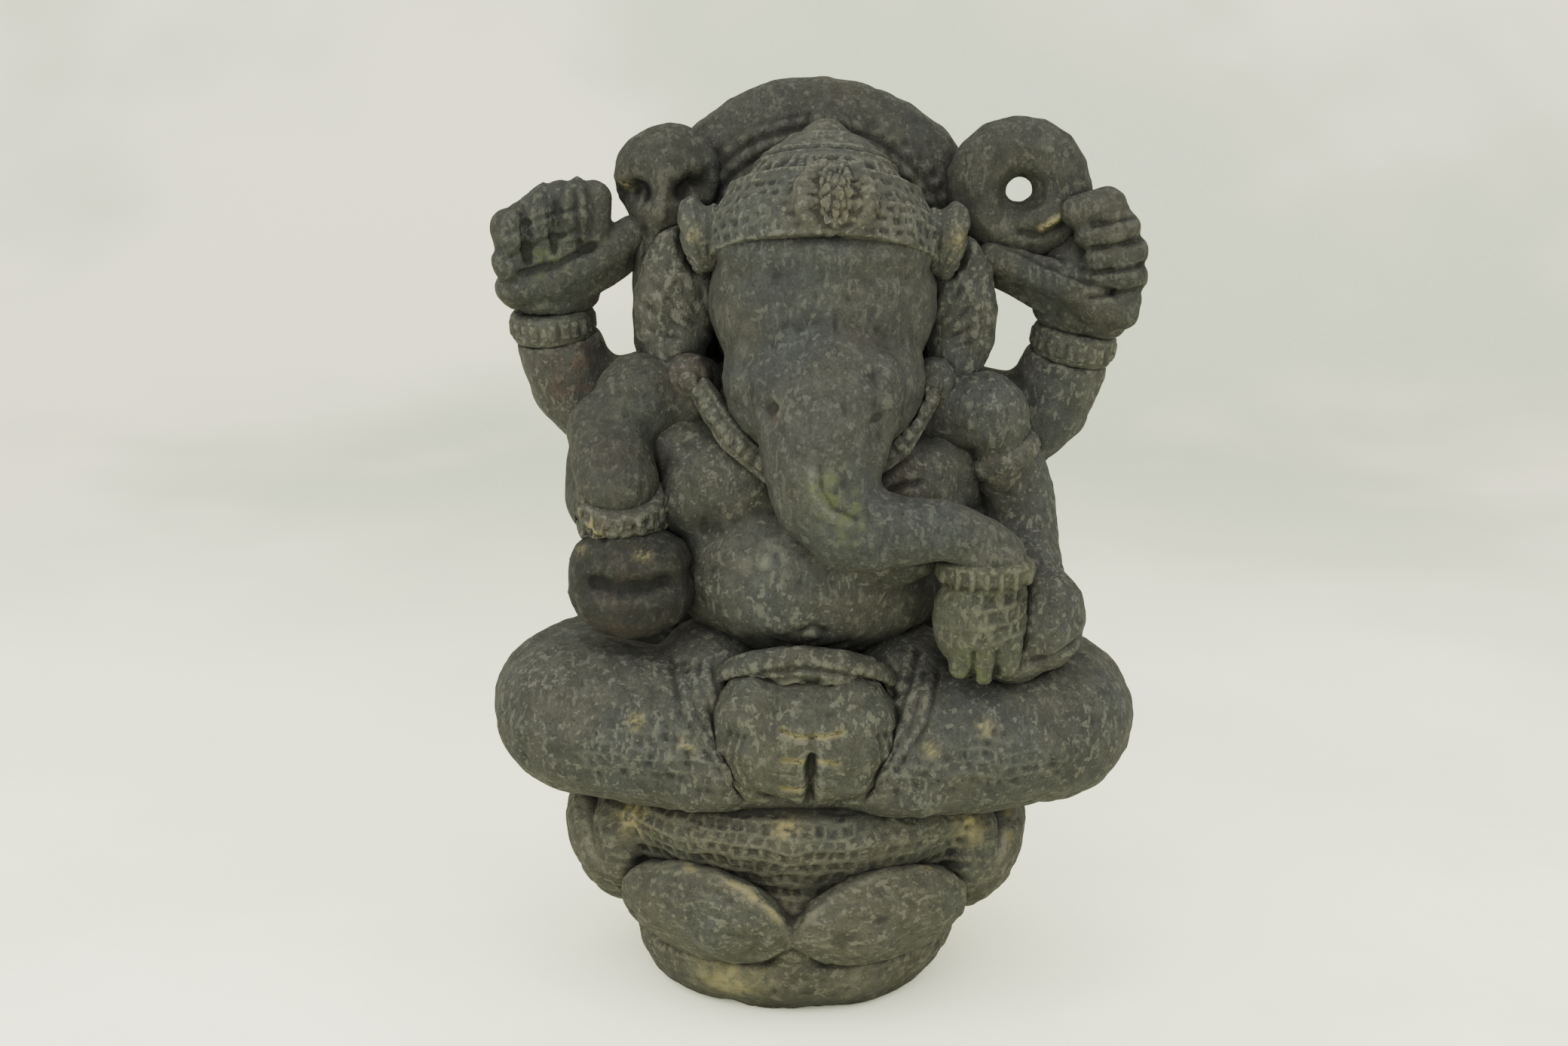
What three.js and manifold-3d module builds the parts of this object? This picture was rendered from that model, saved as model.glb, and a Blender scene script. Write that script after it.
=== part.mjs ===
// Seated Ganesha, carved from one block of dark volcanic stone, on a lotus seat.
// Millimetres, +Z up, face towards -Y, the figure's right hand side is -X.
// The carving is divided along its own creases: one mesh for each carved member.

import * as THREE from 'three';
import { mergeVertices } from 'three/addons/utils/BufferGeometryUtils.js';
import Module from 'manifold-3d';

const wasm = await Module();
wasm.setup();

// ---------------------------------------------------------------- driving dimensions
const HEIGHT = 365; // floor to the top of the halo
const KNEE_SPAN = 258; // across the two knees
const DEPTH = 150; // toes to the back of the halo
const GAP = 0.3; // width of the crease between two carved members

const FOOT_RADIUS = 67; // top edge of the foot the seat stands on
const FOOT_HEIGHT = 26;
const SEAT_RADIUS = 82; // widest part of the lotus drum
const SEAT_TOP = 92;
const PETAL_LEAN = 28; // degrees the petals lean outward, following the bowl of the drum
const KNEE_RADIUS = 33;
const HEAD_WIDTH = 90;
const TRUNK_ROOT = 30; // trunk radius where it leaves the face
const TRUNK_TIP = 12; // trunk radius where it meets the bowl
const WRIST_RADIUS = 17.5; // bracelets of the two raised arms
const CROWN_LEAN = 25; // degrees the crown leans back
const DIADEM_RADIUS = 47;
const DIADEM_HEIGHT = 28;
const LOWER_TIER_HEIGHT = 13; // the tier that stands on the diadem
const UPPER_TIER_HEIGHT = 8; // the next tier, and the knob that ends the crown
const HALO_RADIUS = 72;
const HALO_THICKNESS = 24;
const NOOSE_RADIUS = 17; // centre line of the loop
const NOOSE_THICKNESS = 12; // radius of the cord of the loop

// The members are placed for the nominal figure and stretched to the wanted one. The seated
// figure rides on the seat: it rises or sinks with SEAT_TOP, the lotus seat itself does not.
const PROPORTIONS = new THREE.Matrix4().makeScale(KNEE_SPAN / 258, DEPTH / 150, HEIGHT / 365);
const ON_SEAT = PROPORTIONS.clone().multiply(new THREE.Matrix4().makeTranslation(0, 0, SEAT_TOP - 92));
let place = PROPORTIONS;

const STONE = {
  skin: { color: 0x55564d, roughness: 0.86 },
  hand: { color: 0x48483f, roughness: 0.88 },
  cloth: { color: 0x5a5a4c, roughness: 0.9 },
  ornament: { color: 0x605f54, roughness: 0.88 },
  lotus: { color: 0x5e5e50, roughness: 0.9 },
  halo: { color: 0x5e5d54, roughness: 0.9 },
};

// ---------------------------------------------------------------- shaping helpers
const rad = THREE.MathUtils.degToRad;

function solidOf(geometry) {
  const index = geometry.index.array;
  const corners = [];
  for (let i = 0; i < index.length; i += 3) {
    const [a, b, c] = [index[i], index[i + 1], index[i + 2]];
    if (a !== b && b !== c && c !== a) {
      corners.push(a, b, c);
    }
  }
  return new wasm.Manifold(new wasm.Mesh({
    numProp: 3,
    vertProperties: Float32Array.from(geometry.attributes.position.array),
    triVerts: Uint32Array.from(corners),
  }));
}

function grown(geometry, by) {
  const copy = geometry.clone();
  copy.computeVertexNormals();
  const { position, normal } = copy.attributes;
  for (let i = 0; i < position.count; i += 1) {
    const moved = new THREE.Vector3().fromBufferAttribute(normal, i).multiplyScalar(by);
    moved.add(new THREE.Vector3().fromBufferAttribute(position, i));
    position.setXYZ(i, moved.x, moved.y, moved.z);
  }
  copy.deleteAttribute('normal');
  return copy;
}

// A mass is kept twice: as it is, and grown by the crease so that it can cut its neighbours.
function mass(geometry) {
  geometry.deleteAttribute('normal');
  geometry.deleteAttribute('uv');
  geometry.applyMatrix4(place);
  const welded = mergeVertices(geometry, 1e-3);
  return { own: solidOf(welded), cutter: solidOf(grown(welded, GAP)) };
}

// A rounded lump with its own half sizes, turned by degrees about X, Y and Z.
function lump(centre, radii, turn = [0, 0, 0], sides = 10) {
  const geometry = new THREE.SphereGeometry(1, sides, Math.round(sides * 0.64));
  geometry.rotateX(rad(90));
  geometry.scale(...radii);
  geometry.applyMatrix4(new THREE.Matrix4().makeRotationFromEuler(
    new THREE.Euler(rad(turn[0]), rad(turn[1]), rad(turn[2]), 'ZYX'),
  ));
  geometry.translate(...centre);
  return mass(geometry);
}

// A turned form: outline points are [radius, height], the axis then leans by degrees about X, Y.
function turned(outline, centre, { lean = [0, 0], flatten = 1, sides = 20 } = {}) {
  const points = outline.map(([radius, height]) => new THREE.Vector2(radius, height));
  const geometry = new THREE.LatheGeometry(points, sides);
  geometry.rotateX(rad(90));
  geometry.scale(1, flatten, 1);
  geometry.rotateX(rad(lean[0]));
  geometry.rotateY(rad(lean[1]));
  geometry.translate(...centre);
  return mass(geometry);
}

// A band around a limb: a short turned drum with rounded edges.
function band(centre, radius, halfHeight, lean) {
  const edge = Math.min(2.5, halfHeight * 0.5);
  const outline = [
    [0, -halfHeight],
    [radius - edge, -halfHeight],
    [radius, -halfHeight + edge],
    [radius, halfHeight - edge],
    [radius - edge, halfHeight],
    [0, halfHeight],
  ];
  return turned(outline, centre, { lean, sides: 12 });
}

// A limb: a turned rod with round ends, bent along a path. The radii are spread evenly over it.
function limb(path, radii, sides = 9) {
  const curve = new THREE.CatmullRomCurve3(path.map((point) => new THREE.Vector3(...point)));
  const steps = (path.length - 1) * 2;
  const reach = 1000;
  const start = radii[0];
  const end = radii[radii.length - 1];
  const outline = [0, 35, 65].map((angle) => (
    new THREE.Vector2(start * Math.sin(rad(angle)), -start * Math.cos(rad(angle)))
  ));
  for (let i = 0; i <= steps; i += 1) {
    const where = (i / steps) * (radii.length - 1);
    const k = Math.min(Math.floor(where), radii.length - 2);
    const radius = THREE.MathUtils.lerp(radii[k], radii[k + 1], where - k);
    outline.push(new THREE.Vector2(radius, (reach * i) / steps));
  }
  outline.push(...[65, 35, 0].map((angle) => (
    new THREE.Vector2(end * Math.sin(rad(angle)), reach + end * Math.cos(rad(angle)))
  )));
  const geometry = new THREE.LatheGeometry(outline, sides);
  const frames = curve.computeFrenetFrames(steps, false);
  const { position } = geometry.attributes;
  for (let i = 0; i < position.count; i += 1) {
    const along = THREE.MathUtils.clamp(position.getY(i) / reach, 0, 1);
    const beyond = position.getY(i) - along * reach;
    const k = Math.round(along * steps);
    const place = curve.getPointAt(along)
      .addScaledVector(frames.tangents[k], beyond)
      .addScaledVector(frames.normals[k], position.getX(i))
      .addScaledVector(frames.binormals[k], -position.getZ(i));
    position.setXYZ(i, place.x, place.y, place.z);
  }
  return mass(geometry);
}

// ---------------------------------------------------------------- dividing the block
const figure = new THREE.Group();
figure.name = 'seated_ganesha';
const cutters = [];

function boxesMeet(one, other) {
  const a = one.boundingBox();
  const b = other.boundingBox();
  return [0, 1, 2].every((axis) => a.min[axis] < b.max[axis] && b.min[axis] < a.max[axis]);
}

// Members carved earlier keep their full form; later ones stop one crease short of them.
function carve(name, stone, masses) {
  let body = wasm.Manifold.union(masses.map((one) => one.own));
  const neighbours = cutters.filter((cutter) => boxesMeet(body, cutter));
  if (neighbours.length > 0) {
    body = body.subtract(wasm.Manifold.union(neighbours));
  }
  const lumps = body.simplify(0.1).decompose().sort((a, b) => b.volume() - a.volume());
  const mesh = lumps[0].getMesh();
  const geometry = new THREE.BufferGeometry();
  geometry.setAttribute('position', new THREE.BufferAttribute(mesh.vertProperties, 3));
  geometry.setIndex(new THREE.BufferAttribute(mesh.triVerts, 1));
  const material = new THREE.MeshStandardMaterial({ ...stone, metalness: 0 });
  const member = new THREE.Mesh(geometry, material);
  member.name = name;
  figure.add(member);
  cutters.push(...masses.map((one) => one.cutter));
}

const SIDES = [['R', -1], ['L', 1]];

// ---------------------------------------------------------------- lotus seat
const SEAT_X = -4;
const SEAT_Y = 3;

carve('base_foot', STONE.lotus, [turned([
  [0, 0],
  [FOOT_RADIUS - 16, 0],
  [FOOT_RADIUS - 8, FOOT_HEIGHT * 0.2],
  [FOOT_RADIUS - 3, FOOT_HEIGHT * 0.5],
  [FOOT_RADIUS, FOOT_HEIGHT * 0.85],
  [FOOT_RADIUS - 4, FOOT_HEIGHT],
  [0, FOOT_HEIGHT],
], [SEAT_X, SEAT_Y, 0], { flatten: 0.95 })]);

carve('lotus_drum', STONE.lotus, [turned([
  [0, FOOT_HEIGHT - 8],
  [SEAT_RADIUS - 30, FOOT_HEIGHT - 8],
  [SEAT_RADIUS - 17, FOOT_HEIGHT + 20],
  [SEAT_RADIUS - 3, SEAT_TOP - 22],
  [SEAT_RADIUS + 1, SEAT_TOP - 13],
  [SEAT_RADIUS - 5, SEAT_TOP - 5],
  [SEAT_RADIUS - 20, SEAT_TOP],
  [0, SEAT_TOP + 1],
], [SEAT_X, SEAT_Y, 0], { flatten: 0.86 })]);

// A petal is a bulging leaf leaning out with the drum: angle is measured from the front.
function petal(angle, reachX, reachY, height, radii) {
  const centre = [
    SEAT_X + reachX * Math.sin(rad(angle)),
    SEAT_Y - reachY * Math.cos(rad(angle)),
    height,
  ];
  return lump(centre, radii, [PETAL_LEAN, 0, angle], 12);
}

for (const [side, sign] of SIDES) {
  carve(`petal_front_${side}`, STONE.lotus, [
    petal(sign * 31, SEAT_RADIUS - 14, SEAT_RADIUS - 20, 44, [40, 15, 24]),
  ]);
  carve(`petal_side_${side}`, STONE.lotus, [
    petal(sign * 90, SEAT_RADIUS - 6, SEAT_RADIUS - 20, 55, [38, 16, 27]),
  ]);
  carve(`petal_back_${side}`, STONE.lotus, [
    petal(sign * 149, SEAT_RADIUS - 14, SEAT_RADIUS - 20, 44, [40, 15, 24]),
  ]);
}

// ---------------------------------------------------------------- halo
place = ON_SEAT;

// The halo is a thick disc whose front steps forward in two mouldings towards the crown.
const HALO_FRONT = HALO_THICKNESS / 2;
carve('halo', STONE.halo, [turned([
  [0, -HALO_FRONT],
  [HALO_RADIUS - 8, -HALO_FRONT],
  [HALO_RADIUS - 1, -HALO_FRONT * 0.5],
  [HALO_RADIUS - 1, HALO_FRONT * 0.5],
  [HALO_RADIUS - 8, HALO_FRONT],
  [HALO_RADIUS - 14, HALO_FRONT + 4],
  [HALO_RADIUS - 22, HALO_FRONT + 8],
  [0, HALO_FRONT + 8],
], [0.5, 30, 293], { lean: [90, 0], sides: 24 })]);

// ---------------------------------------------------------------- feet, sash and resting hands
for (const [side, sign] of SIDES) {
  carve(`foot_${side}`, STONE.skin, [
    lump([sign * 18.5 - 1, -57, 120], [20, 19, 28], [8, 0, 0]),
  ]);
}

carve('sash_front', STONE.cloth, [
  limb([
    [-42, -44, 132],
    [-24, -57, 147],
    [0, -62, 152],
    [22, -57, 147],
    [40, -44, 132],
  ], [5, 7, 7, 7, 5], 7),
  lump([0, -50, 142], [24, 13, 9]),
]);

carve('fist_R', STONE.hand, [
  lump([-69, -41, 173], [25, 21, 18], [0, 0, 6]),
  lump([-69, -40, 186], [24, 19, 13], [0, 0, 6]),
]);

carve('trunk', STONE.skin, [limb([
  [4, -38, 256],
  [5, -55, 240],
  [5, -63, 226],
  [9, -66, 212],
  [26, -69, 207],
  [54, -69, 207],
  [70, -65, 196],
], [TRUNK_ROOT, 26, 22.5, 18.5, 13.5, TRUNK_TIP - 1, TRUNK_TIP], 11)]);

carve('sweet_bowl', STONE.ornament, [lump([67, -57, 172], [17.5, 17, 28])]);
carve('hand_L', STONE.hand, [
  lump([90, -46, 167], [17.5, 19, 21]),
  lump([78, -46, 154], [17, 18, 13]),
]);

carve('bracelet_R', STONE.ornament, [band([-73, -34, 203], 18, 9, [24, 0])]);

// ---------------------------------------------------------------- crossed legs
for (const [side, sign] of SIDES) {
  const shift = sign > 0 ? 5 : 0;
  carve(`leg_${side}`, STONE.skin, [
    limb([
      [sign * 92 + shift, -31, 120],
      [sign * 64 + shift, -40, 118],
      [sign * 34, -48, 111],
    ], [KNEE_RADIUS - 1, KNEE_RADIUS - 1, KNEE_RADIUS - 7], 10),
    limb([
      [sign * 36, 24, 121],
      [sign * 66 + shift, 12, 120],
      [sign * 94 + shift, -10, 117],
    ], [KNEE_RADIUS, KNEE_RADIUS, KNEE_RADIUS], 10),
  ]);
}

// ---------------------------------------------------------------- crown
const CROWN_BASE = [3, -13, 297];

// A tier of the crown: its band runs between two heights measured along its own leaning axis.
// The rims are the radii of its lower edge, middle and upper edge, as shares of the diadem's.
function tier(from, to, [lowRim, midRim, topRim]) {
  const outline = [
    [0, from],
    [DIADEM_RADIUS * lowRim, from],
    [DIADEM_RADIUS * midRim, (from + to) / 2],
    [DIADEM_RADIUS * topRim, to],
    [0, to],
  ];
  return turned(outline, CROWN_BASE, { lean: [-CROWN_LEAN, 0], sides: 16 });
}

// The jewel sits half sunk in the front of the diadem, halfway up its band.
const [crownX, crownY, crownZ] = CROWN_BASE;
const lean = rad(CROWN_LEAN);
carve('diadem_jewel', STONE.ornament, [lump([
  crownX + 4,
  crownY - (DIADEM_RADIUS + 1) * Math.cos(lean) + (DIADEM_HEIGHT / 2) * Math.sin(lean),
  crownZ + (DIADEM_RADIUS + 1) * Math.sin(lean) + (DIADEM_HEIGHT / 2) * Math.cos(lean),
], [9, 7, 13], [-CROWN_LEAN, 0, 0])]);
// A flap fills the step between the side of the head and the outside of the diadem: its lower
// tip rests on the head, and it leans out from there to its place beside the diadem.
const FLAP_HALF_HEIGHT = 18;
const flapInner = HEAD_WIDTH / 2 - 2;
const flapOuter = DIADEM_RADIUS + 13;
const flapReach = (flapInner + flapOuter) / 2;
const flapHalf = (flapOuter - flapInner) / 2;
const flapTip = HEAD_WIDTH / 2 + 2;
const flapLean = THREE.MathUtils.radToDeg(Math.asin((flapReach - flapTip) / FLAP_HALF_HEIGHT));
for (const [side, sign] of SIDES) {
  carve(`diadem_flap_${side}`, STONE.ornament, [
    lump(
      [crownX + sign * flapReach, -12, 309],
      [flapHalf, 11, FLAP_HALF_HEIGHT],
      [0, sign * flapLean, 0],
    ),
  ]);
  carve(`earring_${side}`, STONE.ornament, [
    lump([sign * 47 - 1, -17, 253], [9.5, 9.5, 9.5]),
  ]);
}
const lowerTierTop = DIADEM_HEIGHT + LOWER_TIER_HEIGHT;
const upperTierTop = lowerTierTop + UPPER_TIER_HEIGHT;
carve('diadem', STONE.ornament, [tier(0, DIADEM_HEIGHT, [0.97, 0.97, 0.8])]);
carve('crown_lower_tier', STONE.ornament, [tier(DIADEM_HEIGHT - 1, lowerTierTop, [0.72, 0.64, 0.42])]);
carve('crown_upper_tier', STONE.ornament, [tier(lowerTierTop - 1, upperTierTop, [0.38, 0.36, 0.26])]);
carve('crown_finial', STONE.ornament, [
  tier(upperTierTop - 1, upperTierTop + UPPER_TIER_HEIGHT, [0.22, 0.21, 0.1]),
]);

// ---------------------------------------------------------------- head
carve('head', STONE.skin, [
  lump([3, -13, 284], [HEAD_WIDTH / 2, 42, 42], [0, 0, 0], 14),
  lump([4, -29, 256], [HEAD_WIDTH / 2 - 5, 32, 35], [0, 0, 0], 12),
]);
carve('ear_R', STONE.skin, [
  lump([-54, -3, 280], [17, 10, 31], [0, 4, 0]),
  lump([-54, -6, 258], [12, 9, 15]),
]);
carve('ear_L', STONE.skin, [
  lump([55, -3, 279], [17, 10, 31], [0, -4, 0]),
  lump([54, -6, 257], [12, 9, 15]),
]);

carve('necklace', STONE.ornament, [limb([
  [-49, -17, 257],
  [-24, -40, 228],
  [3, -39, 216],
  [28, -40, 228],
  [50, -17, 257],
], [5, 6, 5, 6, 5], 7)]);

// ---------------------------------------------------------------- raised attributes and rear hands
carve('axe', STONE.hand, [
  lump([-58, 13, 326], [22, 15, 21], [0, 0, 0], 12),
  limb([[-59, 11, 316], [-60, 9, 288], [-58, 8, 262]], [15, 12, 13]),
]);

const loop = new THREE.TorusGeometry(NOOSE_RADIUS, NOOSE_THICKNESS, 9, 15);
loop.rotateX(rad(90));
loop.translate(79, 13, 324);
carve('noose', STONE.hand, [mass(loop)]);

carve('rear_bracelet_R', STONE.ornament, [band([-104, 15, 267], WRIST_RADIUS, 6, [4, -6])]);
carve('rear_bracelet_L', STONE.ornament, [band([103, 15, 263], WRIST_RADIUS, 6, [4, 10])]);

carve('rear_hand_R', STONE.hand, [
  lump([-103, 12, 288], [20, 15, 23]),
  limb([[-116, 8, 282], [-98, 7, 285], [-79, 9, 297]], [9, 11, 11], 7),
  lump([-117, 3, 304], [8, 12, 12], [0, 0, 0], 6),
  lump([-106, 2, 312], [8, 12, 13], [0, 0, 0], 6),
  lump([-93, 1, 314], [9, 12, 14], [0, 0, 0], 6),
]);

carve('rear_hand_L', STONE.hand, [
  lump([105, 12, 286], [21, 15, 24]),
  limb([[74, 10, 293], [94, 7, 285], [114, 7, 276]], [9, 10, 10], 7),
  lump([114, 4, 310], [11, 12, 14], [0, 0, 0], 7),
  lump([120, 2, 294], [8.5, 11, 12], [0, 0, 0], 6),
  lump([92, -1, 308], [12, 8, 7], [0, -20, 0], 6),
]);

// ---------------------------------------------------------------- front arms
carve('shoulder_R', STONE.skin, [lump([-67, -12, 243], [19, 19, 18])]);
carve('armband_R', STONE.ornament, [band([-76, -12, 228], 17.5, 4.5, [4, 24])]);
carve('shoulder_L', STONE.skin, [lump([66, -13, 239], [19, 19, 18])]);
carve('armband_L', STONE.ornament, [band([73, -11, 223], 17.5, 4.5, [4, -22])]);
carve('arm_R', STONE.skin, [
  limb([[-73, -7, 236], [-80, -8, 221], [-82, -14, 208], [-76, -32, 203]], [16.5, 16.5, 16, 16]),
]);
carve('arm_L', STONE.skin, [
  limb([[70, -7, 230], [79, -6, 210], [84, -12, 188], [87, -38, 170]], [16.5, 16, 14.5, 13.5]),
]);

// ---------------------------------------------------------------- torso
carve('chest', STONE.skin, [
  lump([0, 1, 220], [60, 36, 46], [0, 0, 0], 11),
  lump([-34, -24, 214], [27, 18, 19], [0, 0, -12], 8),
  lump([34, -24, 214], [27, 18, 19], [0, 0, 12], 8),
]);
carve('belly', STONE.skin, [lump([0, -13, 176], [57, 47, 36], [0, 0, 0], 13)]);
carve('hips', STONE.cloth, [lump([0, 18, 124], [58, 42, 40], [0, 0, 0], 8)]);

// ---------------------------------------------------------------- rear arms
carve('rear_arm_R', STONE.skin, [
  limb([
    [-50, 14, 240],
    [-72, 18, 235],
    [-89, 19, 233],
    [-98, 18, 249],
    [-104, 15, 266],
  ], [20, 20, 19, 18, 16.5]),
]);
carve('rear_arm_L', STONE.skin, [
  limb([
    [50, 14, 237],
    [72, 18, 231],
    [88, 19, 230],
    [97, 18, 246],
    [103, 15, 262],
  ], [20, 20, 19, 18, 16.5]),
]);

export default figure;
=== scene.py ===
import math

import bmesh
import bpy
import numpy as np
from mathutils import Euler, Matrix, Vector


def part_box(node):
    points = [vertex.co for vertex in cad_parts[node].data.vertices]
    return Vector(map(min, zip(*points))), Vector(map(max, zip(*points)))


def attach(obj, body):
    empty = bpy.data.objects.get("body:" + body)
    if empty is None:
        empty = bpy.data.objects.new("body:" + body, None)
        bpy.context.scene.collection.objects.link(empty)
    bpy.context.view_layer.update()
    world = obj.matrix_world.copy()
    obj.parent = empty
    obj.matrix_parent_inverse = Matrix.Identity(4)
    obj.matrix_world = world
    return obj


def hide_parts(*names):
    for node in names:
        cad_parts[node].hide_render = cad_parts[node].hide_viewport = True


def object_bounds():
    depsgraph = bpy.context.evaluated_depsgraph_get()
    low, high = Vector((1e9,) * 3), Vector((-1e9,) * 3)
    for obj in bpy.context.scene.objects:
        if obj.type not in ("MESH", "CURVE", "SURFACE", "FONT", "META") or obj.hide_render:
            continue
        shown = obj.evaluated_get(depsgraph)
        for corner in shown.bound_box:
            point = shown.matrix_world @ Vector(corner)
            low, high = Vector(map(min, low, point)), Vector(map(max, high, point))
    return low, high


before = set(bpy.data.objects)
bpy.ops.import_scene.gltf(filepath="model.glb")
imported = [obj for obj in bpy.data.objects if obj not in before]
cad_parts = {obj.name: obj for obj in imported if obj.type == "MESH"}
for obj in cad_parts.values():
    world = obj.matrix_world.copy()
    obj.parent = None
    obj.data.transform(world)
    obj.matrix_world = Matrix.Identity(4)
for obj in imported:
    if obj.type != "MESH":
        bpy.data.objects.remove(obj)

cad_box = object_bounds()
MM = 0.001


# -- Foot of the pedestal
# A low round plinth left under the lotus when the block was roughed out. Andesite, dressed
# with a point chisel and rubbed round at the floor.
CREASE = 0.35  # mm each member is swelled by, so that the creases inside one piece close
HOLLOW = 0.35  # mm below its near neighbours at which a point counts as a full hollow
FOLD = 1.6  # the same against the wider surface


def spot(node, across, back, up):
    """A point in mm, given as shares of the box of a carved member."""
    low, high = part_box(node)
    shares = (across, back, up)
    return np.array([low[k] + (high[k] - low[k]) * shares[k] for k in range(3)]) / MM


def corners(node):
    """The low and the high corner of a carved member's box, in mm."""
    return (np.array(corner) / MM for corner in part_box(node))


def path_in(node, back, *points):
    """A path over a carved member: shares across and up its box, all at one share back."""
    return [spot(node, across, back, up) for across, up in points]


def hump(values, width):
    """1 at 0, falling smoothly away over the width on both sides."""
    return np.exp(-((values / width) ** 2))


def settled(piece):
    """The piece's mesh with its modifiers worked in."""
    bpy.context.view_layer.update()
    graph = bpy.context.evaluated_depsgraph_get()
    mesh = bpy.data.meshes.new_from_object(piece.evaluated_get(graph))
    old = piece.data
    piece.modifiers.clear()
    piece.data = mesh
    bpy.data.meshes.remove(old)
    return mesh


class Block:
    """Carved members fused into one fine stone mesh, in mm, with the strokes that carve it."""

    def __init__(self, name, nodes, cell=1.2, rounds=30, added=()):
        clay = bmesh.new()
        for node in nodes:
            member = bmesh.new()
            member.from_mesh(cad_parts[node].data)
            bmesh.ops.remove_doubles(member, verts=member.verts[:], dist=1e-6)
            member.normal_update()
            for vert in member.verts:
                vert.co += vert.normal * CREASE * MM
            copy = bpy.data.meshes.new("member")
            member.to_mesh(copy)
            member.free()
            clay.from_mesh(copy)
            bpy.data.meshes.remove(copy)
        for centre, radii, *turn in added:
            angles = turn[0] if turn else (0, 0, 0)
            shape = Matrix.LocRotScale(
                Vector(centre) * MM,
                Euler([math.radians(angle) for angle in angles]),
                Vector(radii) * MM,
            )
            bmesh.ops.create_icosphere(clay, subdivisions=3, radius=1, matrix=shape)
        mesh = bpy.data.meshes.new(name)
        clay.to_mesh(mesh)
        clay.free()
        self.name = name
        self.nodes = nodes
        self.piece = bpy.data.objects.new(name, mesh)
        bpy.context.scene.collection.objects.link(self.piece)
        even = self.piece.modifiers.new("even", "REMESH")
        even.mode = "VOXEL"
        even.voxel_size = cell * MM
        self.read()
        rough_volume, area = self.measure()
        wear = self.piece.modifiers.new("wear", "SMOOTH")
        wear.factor = 0.5
        wear.iterations = rounds
        self.read()
        self.push((rough_volume - self.measure()[0]) / area)
        self.start = self.at.copy()
        self.stains = {key: np.zeros(len(self.at)) for key in ("pale", "ochre", "rust", "moss")}

    def read(self):
        mesh = settled(self.piece)
        self.at = np.empty(len(mesh.vertices) * 3, np.float32)
        mesh.vertices.foreach_get("co", self.at)
        self.at = self.at.reshape(-1, 3).astype(float) / MM
        self.faces = np.empty(len(mesh.loops), np.int32)
        mesh.loops.foreach_get("vertex_index", self.faces)
        self.faces = self.faces.reshape(-1, 4)
        edges = np.empty(len(mesh.edges) * 2, np.int32)
        mesh.edges.foreach_get("vertices", edges)
        edges = edges.reshape(-1, 2)
        self.near = np.concatenate([edges, edges[:, ::-1]])
        self.look()

    def look(self):
        """Works out which way the surface faces at each point."""
        a, b, c, d = (self.at[self.faces[:, k]] for k in range(4))
        across = np.cross(c - a, d - b)
        total = np.zeros_like(self.at)
        for k in range(4):
            for axis in range(3):
                total[:, axis] += np.bincount(self.faces[:, k], across[:, axis], len(self.at))
        self.out = total / (np.linalg.norm(total, axis=1)[:, None] + 1e-12)

    def measure(self):
        a, b, c, d = (self.at[self.faces[:, k]] for k in range(4))
        volume = (np.cross(a, b) * c).sum() / 6 + (np.cross(a, c) * d).sum() / 6
        area = np.linalg.norm(np.cross(c - a, d - b), axis=1).sum() / 2
        return volume, area

    def push(self, amount):
        self.at += self.out * (amount if np.isscalar(amount) else amount[:, None])

    def spread(self, values, rounds):
        """Each point takes the mean of its neighbours, so many times over."""
        count = np.bincount(self.near[:, 0], minlength=len(values))
        for _ in range(rounds):
            values = np.stack([
                np.bincount(self.near[:, 0], values[self.near[:, 1], k], len(values)) / count
                for k in range(3)
            ], 1)
        return values

    def front(self):
        """1 where the surface faces the front, 0 at the back."""
        return np.clip(-self.out[:, 1] * 3 + 0.3, 0, 1)

    def reach(self, path):
        """Distance to a path as seen from the front, and how far along it."""
        use = [0, 2]
        here = self.start[:, use]
        best = np.full(len(here), 1e9)
        along = np.zeros(len(here))
        walked = 0.0
        for start, end in zip(path, path[1:]):
            a, b = np.array(start, float)[use], np.array(end, float)[use]
            span = b - a
            length = np.linalg.norm(span)
            share = np.clip(((here - a) @ span) / length**2, 0, 1)
            gap = np.linalg.norm(here - a - share[:, None] * span, axis=1)
            nearer = gap < best
            best = np.where(nearer, gap, best)
            along = np.where(nearer, walked + share * length, along)
            walked += length
        return best, along

    def stain(self, kind, amount):
        self.stains[kind] = np.maximum(self.stains[kind], amount)

    def groove(self, path, width, depth, stain=None):
        """Cuts a rounded channel, or raises a rib where the depth is negative."""
        gap, _ = self.reach(path)
        mask = hump(gap, width) * self.front()
        self.push(-depth * mask)
        if stain:
            self.stain(stain, mask)

    def dab(self, centre, radius, stain, strength=1.0):
        """Dusts a stain on a ragged patch."""
        gap = np.linalg.norm(self.start - np.array(centre), axis=1)
        patch = hump(gap, radius) * (1 + 0.8 * grain(self.start, radius / 3, 5))
        self.stain(stain, np.clip(patch * strength, 0, 1))

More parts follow.
